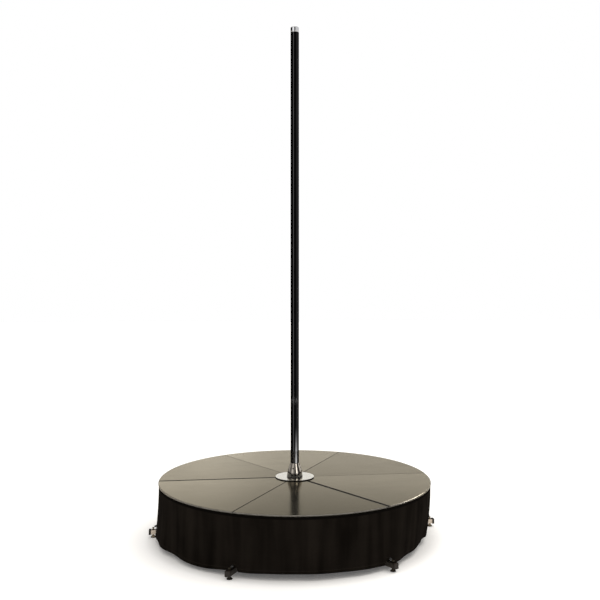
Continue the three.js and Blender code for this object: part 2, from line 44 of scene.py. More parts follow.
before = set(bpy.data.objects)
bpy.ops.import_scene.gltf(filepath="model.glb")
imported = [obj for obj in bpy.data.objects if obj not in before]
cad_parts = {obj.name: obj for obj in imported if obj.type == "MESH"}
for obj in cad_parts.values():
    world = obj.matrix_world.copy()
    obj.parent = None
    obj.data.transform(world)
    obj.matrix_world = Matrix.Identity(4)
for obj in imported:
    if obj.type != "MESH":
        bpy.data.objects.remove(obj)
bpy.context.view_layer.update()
ARM_COUNT = 6
MM = 0.001

_, PANEL_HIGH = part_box("deck_panel_2")
POLE_LOW, POLE_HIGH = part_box("pole_lower")
COLLAR_LOW, COLLAR_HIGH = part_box("collar")
COVER_LOW, COVER_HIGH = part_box("cover_plate")
_, SKIRT_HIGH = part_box("skirt_front")
ARM_LOW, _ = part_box("arm_1")
PAD_LOW, PAD_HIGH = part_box("foot_pad_1")
CAP_LOW, CAP_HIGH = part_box("arm_end_cap_1")

# Fits that the CAD solids also have
ARM_TUBE = 25 * MM
NECK_BORE = 41.3 * MM
SEAT_BORE = 32 * MM
HUB_TOP = ARM_LOW.z + ARM_TUBE + 14 * MM
LEVER_REACH = 12 * MM
LEVER_RISE = 8 * MM
LEVER_LENGTH = math.hypot(LEVER_REACH, LEVER_RISE)


# Sizes and colours that a user would change

def length(name, description, default):
    return FloatProperty(name=name, description=description, default=default, unit="LENGTH", precision=5)


def number(name, description, default):
    return FloatProperty(name=name, description=description, default=default)


def count(name, description, default, least):
    return IntProperty(name=name, description=description, default=default, min=least)


def angle(name, description, degrees):
    return FloatProperty(name=name, description=description, default=math.radians(degrees), subtype="ANGLE")


def share(name, description, default):
    return FloatProperty(name=name, description=description, default=default, min=0, max=1)


def colour(name, description, default):
    return FloatVectorProperty(
        name=name, description=description, default=default, size=3, min=0, max=1, subtype="COLOR"
    )


class DeckSizes(bpy.types.PropertyGroup):
    """Sizes of the deck panels."""

    radius: length("Radius", "Outer radius of the deck", PANEL_HIGH.y)
    top: length("Top", "Height of the deck above the floor", PANEL_HIGH.z)
    thickness: length("Thickness", "Thickness of the board", 18 * MM)
    nosing_height: length("Nosing height", "Height of the rim that stands out over the skirt", 7 * MM)
    nosing_round: length("Nosing rounding", "Rounding of the rim's upper edge", 5 * MM)
    rebate: length("Rebate", "Step under the rim that takes the skirt", 4 * MM)
    hole_radius: length("Hole", "Radius of the hole round the hub's neck", 44 * MM)
    seam: length("Seam", "Gap between neighbouring panels", 1.6 * MM)
    arris: length("Arris", "Rounding of the panels' straight top edges", 1.1 * MM)
    # This strip is painted shade: a dark colour on the top beside each seam that stands in for the shade in
    # its gap.
    seam_shade_strip: length("Sealed strip", "Dark sealer on the top beside the most worn seam", 4.5 * MM)
    flat_ring: length("Flat ring", "Flat strip inside the rim's rounding", 1.5 * MM)
    batten_width: length("Batten width", "Width of the battens under a panel", 40 * MM)
    batten_height: length("Batten height", "Height of the battens under a panel", 18 * MM)
    batten_side_gap: length("Batten side gap", "Gap between a batten's end and the arm", 8 * MM)
    steps: count("Steps", "Steps round one panel's rim", 36, 6)


class PoleSizes(bpy.types.PropertyGroup):
    """Sizes of the pole, its cap, the collar and the cover plate."""

    radius: length("Radius", "Radius of the pole", (POLE_HIGH.x - POLE_LOW.x) / 2)
    wall: length("Wall", "Wall of the pole's tubes", 2.5 * MM)
    edge: length("Edge", "Chamfer on the tubes' ends", 0.5 * MM)
    cap_round: length("Cap rounding", "Rounding of the cap's top edge", 4 * MM)
    cap_groove: length("Cap groove", "Depth of the fine grooves round the cap", 0.4 * MM)
    plug: length("Plug", "Length of the cap's plug inside the tube", 24 * MM)
    cover_round: length("Cover rounding", "Rounding of the cover plate's upper edge", 0.7 * MM)
    collar_lip: length("Collar lip", "Height of the straight lip at the collar's foot", 3 * MM)
    screw_rise: length("Lock screw rise", "Height of the lock screws above the collar's foot", 51 * MM)
    sides: count("Sides", "Sides of the round pieces", 96, 12)


class SkirtSizes(bpy.types.PropertyGroup):
    """Sizes of the hanging skirt."""

    radius: length("Radius", "Radius of the cloth below the rim", 797.3 * MM)
    top: length("Top", "Height of the skirt's upper edge", SKIRT_HIGH.z)
    hem: length("Hem", "Mean height of the hem above the floor", 28 * MM)
    cloth: length("Cloth", "Thickness of the cloth", 0.7 * MM)
    band: length("Band", "Height of the straight band under the rim", 16 * MM)
    band_stand: length("Band stand", "How far the sewn band stands proud of the cloth", 0.5 * MM)
    hem_turn: length("Hem turn", "Height of the turned hem", 18 * MM)
    slit_top: length("Slit top", "Half width of the slits at their top", 1.5 * MM)
    slit_hem: length("Slit hem", "Half width of the slits at the hem", 20 * MM)
    notch_half: length("Notch", "Half width of the hem's notch over an arm", 17.5 * MM)
    notch_top: length("Notch top", "Height of the notch above the floor", 49.8 * MM)
    notch_round: length("Notch rounding", "Distance over which the hem rises beside an arm", 7 * MM)
    fold: length("Fold", "Depth of the regular soft folds at the hem", 3.0 * MM)
    columns: count("Columns", "Steps along one half of the skirt", 640, 48)


class FootSizes(bpy.types.PropertyGroup):
    """Sizes of the levelling feet and of the arms' end caps."""

    pitch: length("Pitch", "Pitch of the foot screw's thread", 1.5 * MM)
    thread_depth: length("Thread depth", "Depth of the foot screw's thread", 0.7 * MM)
    screw_radius: length("Screw", "Outer radius of the foot screw", 5 * MM)
    tip_radius: length("Tip", "Radius of the screw's plain tip in the pad", 3.2 * MM)
    hub_radius: length("Lever hub", "Radius of the lever's hub on the screw", 6 * MM)
    hub_height: length("Lever hub height", "Height of the lever's hub", 6 * MM)
    lever_radius: length("Lever", "Radius of the lever's rod", 2.2 * MM)
    knob_radius: length("Knob", "Radius of the lever's knob", 5.5 * MM)
    knob_length: length("Knob length", "Length of the lever's knob", 15 * MM)
    pad_rim: length("Pad rim", "Height of the pad's rubber rim", 3.5 * MM)
    socket: length("Socket", "Depth of the pad's socket", 11 * MM)
    cap_round: length("Cap rounding", "Corner radius of the arms' end caps", 3.5 * MM)
    cap_bevel: length("Cap bevel", "Bevel round the end caps' faces", 1 * MM)
    sides: count("Sides", "Sides of the feet's round pieces", 40, 8)


class FinishColours(bpy.types.PropertyGroup):
    """Colours of the finishes."""

    laminate: colour("Laminate", "Dark smooth surface of the deck", (0.05, 0.046, 0.038))
    # Painted light: this warm tint on the deck's gloss stands in for the warm light in its reflection.
    laminate_edge: colour("Laminate edge", "Tint of the deck's gloss at a low angle", (1.0, 0.92, 0.75))
    rubbed_edge: colour("Rubbed edge", "Paler laminate where the rim is rubbed", (0.22, 0.205, 0.18))
    # This dark colour is real sealer on the cut edges, and painted shade on the seams' arrises and the
    # strip of top beside them.
    sealed_edge: colour("Sealed edge", "Dark paint on the panels' cut edges", (0.012, 0.0105, 0.008))
    # On the cover plate's edge this dark colour is painted shade; on the lock screws it is their black
    # oxide.
    oxide: colour("Black oxide", "Blackened lock screws and plate edge", (0.017, 0.015, 0.013))
    cloth: colour("Cloth", "Black woven skirt", (0.0082, 0.0066, 0.0053))
    webbing: colour("Webbing", "Band sewn along the skirt's top", (0.0050, 0.0042, 0.0036))
    pole: colour("Pole", "Gloss black coat of the pole", (0.030, 0.030, 0.031))
    chrome: colour("Chrome", "Polished chrome of the cap and the collar", (0.75, 0.735, 0.70))
    satin: colour("Satin steel", "Satin steel of the cover plate", (0.76, 0.745, 0.68))
    zinc: colour("Zinc", "Dull zinc plating of the arms and the hub", (0.62, 0.54, 0.45))
    pin_zinc: colour("Pin zinc", "Paler zinc plating of the arm pins", (0.682, 0.594, 0.495))
    olive_zinc: colour("Olive zinc", "Olive passivated zinc of the feet", (0.34, 0.29, 0.21))
    ground: colour("Ground steel", "Ground steel of the bearings and the spindle", (0.55, 0.54, 0.52))
    brown: colour("Brown plastic", "End caps of the arms", (0.016, 0.011, 0.008))
    black: colour("Black plastic", "Knobs of the foot levers", (0.012, 0.012, 0.012))
    rubber: colour("Rubber", "Soles of the foot pads", (0.02, 0.019, 0.017))
    plywood: colour("Plywood", "Battens under the deck", (0.42, 0.29, 0.17))


class StudioSetup(bpy.types.PropertyGroup):
    """Camera, lamps and reflecting cards."""

    distance: length("Distance", "Distance from the pole to the camera", 4.502)
    height: length("Height", "Height of the camera above the floor", 1.389)
    aside: length("Aside", "How far the camera stands to the right of the pole", 0.0313)
    azimuth: angle("Azimuth", "Angle of the camera round the stage", -7.5)
    focal_pixels: number("Focal pixels", "Focal length in pixels of the picture", 754.7)
    picture: count("Picture", "Width of the picture in pixels", 600, 1)
    shift_pixels: number("Shift", "Upward shift of the picture in pixels", -1.5)
    key_strength: number("Key", "Strength of the broad light from the right", 1.30)
    key_spread: angle("Key spread", "Angle that the broad light fills", 50)
    key_height: angle("Key height", "Angle of the light above the floor", 66)
    key_turn: angle("Key turn", "Angle of the light round the stage, from the camera to the right", 118)
    ambient: number("Ambient", "Strength of the room's diffuse light", 0.74)
    card_radius: length("Cards", "Radius of the room's round wall, behind the cards", 6.0)
    floor_glow: share("Floor glow", "White that the floor adds away from the stage", 0.28)
    floor: colour("Floor", "Colour of the floor", (0.95, 0.93, 0.905))
    warm: colour("Warm", "Colour of the lamps", (1.0, 0.985, 0.95))


# Mesh helpers

def turn(radians):
    return Matrix.Rotation(radians, 4, "Z")


def merge(bm, dist=1e-7):
    bmesh.ops.remove_doubles(bm, verts=bm.verts, dist=dist)


def face_outward(bm):
    bmesh.ops.recalc_face_normals(bm, faces=bm.faces)


def spin(bm, verts, edges, sweep, steps, rise=0.0, full=False):
    bmesh.ops.spin(
        bm, geom=verts + edges, cent=(0, 0, 0), axis=(0, 0, 1), dvec=(0, 0, rise),
        angle=sweep, steps=steps, use_merge=full,
    )


def sweep_profile(bm, profile, degrees=360.0, steps=96, start=0.0):
    """Turns a chain of (radius, height) points round the Z axis."""
    first = turn(start)
    verts = [bm.verts.new(first @ Vector((radius, 0, height))) for radius, height in profile]
    edges = [bm.edges.new(pair) for pair in zip(verts, verts[1:])]
    spin(bm, verts, edges, math.radians(degrees), steps, full=degrees >= 360)


def turned(profile, sides, closed=False):
    """A bmesh turned from a profile. A closed one joins its last point to its first."""
    bm = bmesh.new()
    sweep_profile(bm, list(profile) + ([profile[0]] if closed else []), 360, sides)
    merge(bm, 1e-6)
    bmesh.ops.dissolve_degenerate(bm, edges=bm.edges, dist=1e-7)
    face_outward(bm)
    return bm


def arc(cx, cy, radius, start, end, steps):
    """Points on an arc, angles in degrees."""
    points = []
    for i in range(steps + 1):
        a = math.radians(start + (end - start) * i / steps)
        points.append((cx + radius * math.cos(a), cy + radius * math.sin(a)))
    return points


def box_of(bm, low, high):
    """Adds a box between two corners and returns its vertices."""
    low, high = Vector(low), Vector(high)
    verts = bmesh.ops.create_cube(bm, size=1)["verts"]
    bmesh.ops.scale(bm, vec=high - low, verts=verts)
    bmesh.ops.translate(bm, vec=(low + high) / 2, verts=verts)
    return verts


def bevel_edges(bm, edges, offset, segments=3, material=-1):
    bmesh.ops.bevel(
        bm, geom=list(edges), offset=offset, offset_type="OFFSET", segments=segments, profile=0.5,
        affect="EDGES", material=material, clamp_overlap=True,
    )


def cut_along(bm, place, out, clear=False):
    """Cuts everything with a plane and returns the edges of the cut."""
    cut = bmesh.ops.bisect_plane(
        bm, geom=[*bm.verts, *bm.edges, *bm.faces], dist=1e-7, plane_co=place, plane_no=out,
        clear_outer=clear,
    )
    return [e for e in cut["geom_cut"] if isinstance(e, bmesh.types.BMEdge)]


def piece(bm, name, finishes, body, nodes=(), slot=None, smooth=35.0):
    """Makes the bmesh a named object at the origin that rides on a body."""
    mesh = bpy.data.meshes.new(name)
    bm.to_mesh(mesh)
    bm.free()
    mesh.shade_smooth()
    mesh.set_sharp_from_angle(angle=math.radians(smooth))
    obj = bpy.data.objects.new(name, mesh)
    bpy.context.scene.collection.objects.link(obj)
    for one in finishes:
        mesh.materials.append(finish(one))
    if body:
        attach(obj, body)
    if nodes:
        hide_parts(*nodes)
    return obj


def join_into(bm, other, matrix=Matrix.Identity(4), material_index=0):
    """Adds another bmesh to bm, moved by a matrix."""
    other.transform(matrix)
    for face in other.faces:
        face.material_index = material_index
    mesh = bpy.data.meshes.new("joining")
    other.to_mesh(mesh)
    other.free()
    bm.from_mesh(mesh)
    bpy.data.meshes.remove(mesh)


def subtract(obj, cutter_mesh):
    """Cuts a bmesh out of an object, into its own mesh."""
    cutter = piece(cutter_mesh, "cutter", [], None)
    cut = obj.modifiers.new("Cut", "BOOLEAN")
    cut.operation = "DIFFERENCE"
    cut.solver = "EXACT"
    cut.object = cutter
    bpy.context.view_layer.update()
    graph = bpy.context.evaluated_depsgraph_get()
    shown = obj.evaluated_get(graph)
    done = bpy.data.meshes.new_from_object(shown, preserve_all_data_layers=True, depsgraph=graph)
    obj.modifiers.clear()
    old = obj.data
    obj.data = done
    bpy.data.meshes.remove(old)
    bpy.data.objects.remove(cutter)


# Materials

class Nodes:
    """Builds a node tree. A value is a number, a colour, or a socket to link."""

    def __init__(self, tree):
        self.tree = tree
        self.coords = None

    def feed(self, value, socket):
        if isinstance(value, bpy.types.NodeSocket):
            self.tree.links.new(value, socket)
        else:
            socket.default_value = value

    def node(self, kind, **values):
        """Makes a node and gives its inputs, or else its settings, their values."""
        node = self.tree.nodes.new(kind)
        for key, value in values.items():
            if key in node.inputs:
                self.feed(value, node.inputs[key])
            else:
                setattr(node, key, value)
        return node

    @property
    def place(self):
        """Object coordinates."""
        if self.coords is None:
            self.coords = self.node("ShaderNodeTexCoord")
        return self.coords.outputs["Object"]

    def part(self, axis, vector=None):
        """One part of a vector, or else of the place."""
        return self.node("ShaderNodeSeparateXYZ", Vector=vector or self.place).outputs[axis]

    def mapped(self, scale=(1, 1, 1), rotation=(0, 0, 0), place=(0, 0, 0), vector=None):
        vector = vector or self.place
        node = self.node("ShaderNodeMapping", Scale=scale, Rotation=rotation, Location=place, Vector=vector)
        return node.outputs["Vector"]

    def noise(self, scale, detail=3.0, rough=0.5, vector=None, distortion=0.0):
        values = {"Scale": scale, "Detail": detail, "Roughness": rough, "Distortion": distortion}
        return self.node("ShaderNodeTexNoise", Vector=vector or self.place, **values).outputs["Fac"]

    def wave(self, scale, direction, vector, distortion=0.0):
        values = {"Scale": scale, "Distortion": distortion, "Vector": vector}
        return self.node("ShaderNodeTexWave", bands_direction=direction, **values).outputs["Fac"]

    def ramp(self, value, low, high, start=0.0, end=1.0, curve="LINEAR"):
        """Maps a value from start..end to low..high."""
        values = {"Value": value, "From Min": start, "From Max": end, "To Min": low, "To Max": high}
        return self.node("ShaderNodeMapRange", interpolation_type=curve, **values).outputs["Result"]

    def mix(self, factor, a, b):
        """Mix of two colours."""
        node = self.node("ShaderNodeMix", data_type="RGBA", Factor=factor)
        for index, value in ((6, a), (7, b)):
            self.feed(value if isinstance(value, bpy.types.NodeSocket) else (*value, 1), node.inputs[index])
        return node.outputs[2]

    def math(self, operation, a, b=0.0):
        node = self.node("ShaderNodeMath", operation=operation)
        self.feed(a, node.inputs[0])
        self.feed(b, node.inputs[1])
        return node.outputs[0]

    def distance_from_axis(self):
        """Distance of a point from the pole's axis."""
        squares = [self.math("POWER", self.part(axis), 2.0) for axis in "XY"]
        return self.math("SQRT", self.math("ADD", *squares))


class Finish(Nodes):
    """A material, built around one Principled shader."""

    def __init__(self, name, tint, roughness, metallic=0.0):
        self.material = bpy.data.materials.new(name)
        self.material.use_nodes = True
        super().__init__(self.material.node_tree)
        self.shader = next(n for n in self.tree.nodes if n.type == "BSDF_PRINCIPLED")
        self.into((*tint, 1), "Base Color")
        self.into(roughness, "Roughness")
        self.into(metallic, "Metallic")

    def into(self, value, socket):
        self.feed(value, self.shader.inputs[socket])

    def bump(self, height, strength, distance, under=None):
        node = self.node("ShaderNodeBump", Strength=strength, Distance=distance, Height=height)
        if under is not None:
            self.feed(under, node.inputs["Normal"])
        self.into(node.outputs["Normal"], "Normal")
        return node.outputs["Normal"]

    def fabric(self, sheen_roughness):
        """Faint sheen without gloss, and the cloth's own threads as coordinates."""
        self.into(0.006, "Sheen Weight")
        self.into(sheen_roughness, "Sheen Roughness")
        self.into(0.0, "Specular IOR Level")
        return self.node("ShaderNodeUVMap", uv_map="threads").outputs["UV"]


def shade(tint, factor):
    return tuple(min(1.0, part * factor) for part in tint)


# How glossy each panel is beside the glossiest, from the first on
PANEL_GLOSS_SHARES = (0.88, 1.0, 0.83, 0.93, 0.92, 1.0)


def laminate_finish(name, tint, number):
    """Smooth dark laminate with wipe marks, a fine orange peel, and a paler worn rim."""
    colours = bpy.context.scene.finish_colours
    rim = bpy.context.scene.deck_sizes.radius
    f = Finish(name, tint, 0.2, metallic=0.72)
    # The gloss is tinted warm as painted light, for the warm light in the deck's reflection.
    f.into((*shade(colours.laminate_edge, PANEL_GLOSS_SHARES[number - 1]), 1), "Specular Tint")
    place = (0.37 * number, -0.53 * number, 0)
    wipes = f.mapped(scale=(1, 3.2, 1), rotation=(0, 0, 1.05 * number), place=place)
    streaks = f.noise(5.0, detail=6, rough=0.55, vector=wipes, distortion=0.4)
    clouds = f.noise(2.2, detail=3, rough=0.5, vector=f.mapped(place=place))
    brushed = f.mapped(scale=(1, 0.25, 1), rotation=(0, 0, 0.6 * number))
    scuffs = f.noise(60, detail=4, rough=0.7, vector=brushed)
    uneven = f.math("ADD", f.ramp(streaks, -0.02, 0.026, 0.3, 0.7), f.ramp(clouds, 0.12, 0.17, 0.3, 0.7))
    f.into(f.math("ADD", uneven, f.ramp(scuffs, 0, 0.05, 0.62, 0.8)), "Roughness")
    dust = f.ramp(clouds, 0.0, 1.0, 0.35, 0.75)
    tone = f.mix(dust, shade(tint, 0.86), shade(tint, 1.22))
    chips = f.ramp(f.noise(38, detail=4, rough=0.6), 0.7, 1.0, 0.35, 0.6)
    at_rim = f.ramp(f.distance_from_axis(), 0, 1, rim - 3.6 * MM, rim - 2.4 * MM)
    f.into(f.mix(f.math("MULTIPLY", at_rim, chips), tone, colours.rubbed_edge), "Base Color")
    broad = f.bump(f.noise(7.0, detail=2, rough=0.4), 0.08, 0.0009)
    f.bump(f.noise(900, detail=2, rough=0.5), 0.05, 0.0002, under=broad)
    return f.material


def plywood_finish(name, tint):
    """Plywood with its grain."""
    f = Finish(name, tint, 0.62)
    grain = f.noise(9, detail=6, rough=0.6, vector=f.mapped(scale=(1, 12, 12)), distortion=0.6)
    f.into(f.mix(grain, shade(tint, 0.72), shade(tint, 1.18)), "Base Color")
    f.bump(grain, 0.25, 0.0006)
    return f.material


def cloth_finish(name, tint):
    """Black woven polyester with its weave, stitched hem and faint lint."""
    hem_turn = bpy.context.scene.skirt_sizes.hem_turn
    f = Finish(name, tint, 0.7)
    threads = f.fabric(0.45)
    f.into((1.0, 0.94, 0.9, 1), "Sheen Tint")
    weave = f.math("MAXIMUM", *(f.wave(700, axis, threads, distortion=0.3) for axis in "XY"))
    upright = f.mapped(scale=(15, 1.4, 1), vector=threads)
    streaks = f.noise(1.0, detail=3, rough=0.5, vector=upright, distortion=0.3)
    clouds = f.noise(6.0, detail=4, rough=0.55)
    patches = f.math("ADD", f.math("MULTIPLY", streaks, 0.7), f.math("MULTIPLY", clouds, 0.3))
    lint = f.noise(420, detail=2, rough=0.6)
    tone = f.mix(f.ramp(patches, 0, 1, 0.36, 0.64), shade(tint, 0.62), shade(tint, 1.6))
    tone = f.mix(f.ramp(lint, 0, 0.35, 0.7, 0.78), tone, shade(tint, 3.2))
    stitch_row = f.math("SUBTRACT", f.part("Y", threads), hem_turn - 2 * MM)
    near_row = f.math("LESS_THAN", f.math("ABSOLUTE", stitch_row), 0.5 * MM)
    dashes = f.math("GREATER_THAN", f.math("FRACT", f.math("MULTIPLY", f.part("X", threads), 250.0)), 0.3)
    stitches = f.math("MULTIPLY", near_row, dashes)
    f.into(f.mix(stitches, tone, shade(tint, 4.0)), "Base Color")
    f.into(f.ramp(patches, 0.52, 0.72, 0.3, 0.7), "Roughness")
    low = f.bump(f.noise(16, detail=4, rough=0.5), 0.3, 0.0012)
    mid = f.bump(weave, 0.35, 0.00022, under=low)
    f.bump(stitches, 0.5, 0.0004, under=mid)
    return f.material


def webbing_finish(name, tint):
    """Ribbed webbing of the sewn band."""
    f = Finish(name, tint, 0.6)
    threads = f.fabric(0.35)
    both = f.math("MULTIPLY", f.wave(520, "X", threads, distortion=0.2), f.wave(900, "Y", threads))
    f.into(f.mix(both, shade(tint, 0.6), shade(tint, 1.6)), "Base Color")
    f.bump(both, 0.5, 0.0003)
    return f.material


def gloss_black_finish(name, tint):
    """Gloss black coat with a faint orange peel and hand marks."""
    f = Finish(name, tint, 0.05, metallic=1.0)
    f.into((0.12, 0.12, 0.12, 1), "Specular Tint")
    marks = f.noise(14, detail=5, rough=0.6, vector=f.mapped(scale=(1, 1, 0.35)))
    f.into(f.ramp(marks, 0.025, 0.07, 0.35, 0.75), "Roughness")
    f.into(f.mix(f.ramp(marks, 0, 1, 0.3, 0.8), shade(tint, 0.8), shade(tint, 1.3)), "Base Color")
    f.bump(f.noise(260, detail=2, rough=0.4), 0.035, 0.0004)
    return f.material


def chrome_finish(name, tint, roughness):
    """Polished chrome with faint turning lines, and painted shade that darkens the collar's foot."""
    f = Finish(name, tint, roughness, metallic=1.0)
    rings = f.noise(1.0, detail=5, rough=0.75, vector=f.mapped(scale=(2, 2, 900)))
    haze = f.noise(30, detail=4, rough=0.6)
    above_painted_foot_shade = f.ramp(f.part("Z"), 0, 1, COLLAR_LOW.z + 5 * MM, COLLAR_LOW.z + 16 * MM)
    uneven = f.ramp(haze, roughness * 0.6, roughness * 1.6)
    f.into(f.math("ADD", f.ramp(rings, 0, 0.05), uneven), "Roughness")
    bright = f.mix(haze, shade(tint, 0.93), shade(tint, 1.03))
    # Below the ramp the base colour is darkened to paint shade on the collar's foot.
    f.into(f.mix(above_painted_foot_shade, shade(tint, 0.12), bright), "Base Color")
    f.bump(rings, 0.03, 0.0001)
    return f.material


def satin_finish(name, tint):
    """Satin steel turned on a lathe: fine rings round the pole."""
    f = Finish(name, tint, 0.2, metallic=1.0)
    along = f.node("ShaderNodeCombineXYZ", X=f.distance_from_axis())
    rings = f.noise(2600, detail=3, rough=0.7, vector=along.outputs["Vector"])
    haze = f.noise(22, detail=4, rough=0.6)
    f.into(f.math("ADD", f.ramp(rings, 0.08, 0.2), f.ramp(haze, 0, 0.1)), "Roughness")
    f.into(f.mix(haze, shade(tint, 0.92), shade(tint, 1.04)), "Base Color")
    f.bump(rings, 0.05, 0.0001)
    return f.material


def plated_finish(name, tint, roughness, scale=26.0, blotch=0.22, front_painted_shade=False):
    """Plated metal with blotches and a fine grain. The last flag darkens the front arms and feet as painted
    shade.
    """
    f = Finish(name, tint, roughness, metallic=1.0)
    spots = f.noise(scale, detail=5, rough=0.62)
    tone = f.mix(spots, shade(tint, 1 - blotch), shade(tint, 1 + blotch))
    if front_painted_shade:
        # Painted shade: towards the front of the stage the plating turns nearly black.
        edge = f.math("ADD", f.part("Y"), f.ramp(spots, -0.02, 0.02, 0.3, 0.7))
        tone = f.mix(f.ramp(edge, 0.0, 1.0, -0.64, -0.5), shade(tint, 0.14), tone)
    f.into(tone, "Base Color")
    f.into(f.ramp(spots, roughness * 0.8, roughness * 1.3, 0.3, 0.7), "Roughness")
    f.bump(f.noise(scale * 24, detail=3, rough=0.6), 0.12, 0.00025)
    return f.material


def moulded_finish(name, tint, roughness, gloss=0.5):
    """Moulded plastic or rubber with a fine spark texture."""
    f = Finish(name, tint, roughness)
    f.into(gloss, "Specular IOR Level")
    wear = f.noise(70, detail=4, rough=0.6)
    f.into(f.mix(f.ramp(wear, 0, 1, 0.4, 0.75), shade(tint, 0.85), shade(tint, 1.5)), "Base Color")
    f.into(f.ramp(wear, roughness * 0.85, roughness * 1.2, 0.35, 0.7), "Roughness")
    f.bump(f.noise(1500, detail=2, rough=0.5), 0.15, 0.0002)
    return f.material


# Each finish: its maker, its colour's name, and the maker's other values
FINISHES = {
    "plywood": (plywood_finish, "plywood"),
    "sealed_edge": (moulded_finish, "sealed_edge", 0.7, 0.05),
    "woven_cloth": (cloth_finish, "cloth"),
    "ribbed_webbing": (webbing_finish, "webbing"),
    "pole_coat": (gloss_black_finish, "pole"),
    "cap_chrome": (chrome_finish, "chrome", 0.06),
    "collar_chrome": (chrome_finish, "chrome", 0.1),
    "lathe_steel": (satin_finish, "satin"),
    "black_oxide": (plated_finish, "oxide", 0.5, 90.0),
    "arm_zinc": (plated_finish, "zinc", 0.42, 26.0, 0.22, True),
    "foot_zinc": (plated_finish, "olive_zinc", 0.45, 60.0, 0.22, True),
    "pin_zinc": (plated_finish, "pin_zinc", 0.35),
    "ground_steel": (plated_finish, "ground", 0.22, 40.0, 0.08),
    "sole_rubber": (moulded_finish, "rubber", 0.6),
    "black_knob": (moulded_finish, "black", 0.3),
    "brown_cap": (moulded_finish, "brown", 0.5, 0.25),
}
for panel in range(1, ARM_COUNT + 1):
    FINISHES[f"deck_laminate_{panel}"] = (laminate_finish, "laminate", panel)


def finish(name):
    """The material of that name, made at its first use."""
    if name not in bpy.data.materials:
        make, tint, *values = FINISHES[name]
        make(name, getattr(bpy.context.scene.finish_colours, tint), *values)
    return bpy.data.materials[name]


def coat_solid(node, name):
    """Gives a CAD piece that stays its finish."""
    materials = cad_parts[node].data.materials
    materials.clear()
    materials.append(finish(name))


# Deck

# How much wider and rounder than the plainest each seam is, and how wide its strip of painted shade is,
# from the one at +X on
SEAM_WEAR_SHARES = (0.0, 0.06, 0.0, 0.8, 0.14, 1.0)
HALF_PANEL = math.pi / ARM_COUNT


def seam_beside(number, side):
    """Direction out of a panel across one of its two seams, and how worn that seam is; the same share
    widens the seam's strip of painted shade.
    """
    across = (2 * number - 1) * HALF_PANEL + side * HALF_PANEL
    out = Vector((-math.sin(across), math.cos(across), 0)) * side
    return out, SEAM_WEAR_SHARES[(number + (side - 1) // 2) % ARM_COUNT]


def panel_board(sizes, number):
    """One wedge of the deck: rim profile swept past its seams, then cut at both."""
    top, under = sizes.top, sizes.top - sizes.thickness
    body = sizes.radius - sizes.rebate
    lip = sizes.nosing_round
    profile = [(sizes.hole_radius, under), (body, under), (body, top - sizes.nosing_height)]
    profile.append((sizes.radius, top - sizes.nosing_height))
    profile += arc(sizes.radius - lip, top - lip, lip, 0, 90, 6)
    profile += [(sizes.radius - lip - sizes.flat_ring, top), (sizes.hole_radius, top), profile[0]]
    bm = bmesh.new()
    reach = HALF_PANEL + math.radians(1)
    middle = (2 * number - 1) * HALF_PANEL
    sweep_profile(bm, profile, math.degrees(2 * reach), sizes.steps, middle - reach)
    merge(bm, 1e-6)
    for side in (-1, 1):
        out, wear = seam_beside(number, side)
        loop = cut_along(bm, -out * sizes.seam * (0.5 + wear / 2), out, clear=True)
        bmesh.ops.edgeloop_fill(bm, edges=loop, mat_nr=1)
    face_outward(bm)
    for side in (-1, 1):
        out, wear = seam_beside(number, side)
        arris = sizes.arris * (1 + 3 * wear)
        # A strip of the top beside the seam takes the dark edge colour as painted shade of the gap.
        line = -out * (sizes.seam * (0.5 + wear / 2) + arris + sizes.seam_shade_strip * (0.03 + wear))
        cut_along(bm, line, out)
        for face in bm.faces:
            if face.normal.z > 0.5 and (face.calc_center_median() - line).dot(out) > 0:
                face.material_index = 1
        seam_edges = []
        for edge in bm.edges:
            high = all(abs(v.co.z - top) < 1e-6 for v in edge.verts)
            if high and any(f.normal.dot(out) > 0.99 for f in edge.link_faces):
                seam_edges.append(edge)
        # The rounded arris takes the dark edge colour too, as painted shade.
        bevel_edges(bm, seam_edges, arris, 2, 1)
    return bm


def panel_battens(sizes, number):
    """Two battens under a panel, with the heads of their screws."""
    side_gap = (ARM_TUBE / 2 + sizes.batten_side_gap) / math.cos(HALF_PANEL)
    under = sizes.top - sizes.thickness
    bm = bmesh.new()
    for place_share in (0.42, 0.78):
        near, far = (place_share * sizes.radius + s * sizes.batten_width / 2 for s in (-1, 1))
        verts = box_of(bm, (near, -1, under - sizes.batten_height), (far, 1, under))
        for vert in verts:
            vert.co.y *= vert.co.x * math.tan(HALF_PANEL) - side_gap
        lower = {e for v in verts for e in v.link_edges if all(x.co.z < under - 1e-6 for x in e.verts)}
        bevel_edges(bm, lower, 1.5 * MM, 2)
        reach = near * math.tan(HALF_PANEL) - side_gap
        for screw_share in (-0.8, -0.27, 0.27, 0.8):
            shank = [(0, 1.2 * MM), (1.2 * MM, 1.2 * MM), (1.6 * MM, 0)]
            disc = [(4.2 * MM, 0), (4.2 * MM, -0.4 * MM), (0, -0.4 * MM)]
            head = turned(shank + disc, 14)
            spot = Vector(((near + far) / 2, screw_share * reach, under - sizes.batten_height))
            join_into(bm, head, Matrix.Translation(spot), 1)
    bm.transform(turn((2 * number - 1) * HALF_PANEL))
    return bm


class STAGE_OT_deck(bpy.types.Operator):
    """Six wedge panels of laminated board with rounded rims, and their battens"""

    bl_idname = "stage.deck"
    bl_label = "Deck panels"

    def execute(self, context):
        sizes = context.scene.deck_sizes
        for number in range(1, ARM_COUNT + 1):
            board = panel_board(sizes, number)
            piece(
                board, f"panel_{number}", [f"deck_laminate_{number}", "sealed_edge"], "stage",
                [f"deck_panel_{number}"], "deck_laminate", 18,
            )
            battens = panel_battens(sizes, number)
            piece(battens, f"battens_{number}", ["plywood", "ground_steel"], "stage", slot="deck_laminate")
        return {"FINISHED"}


# Pole, cap, collar and cover plate

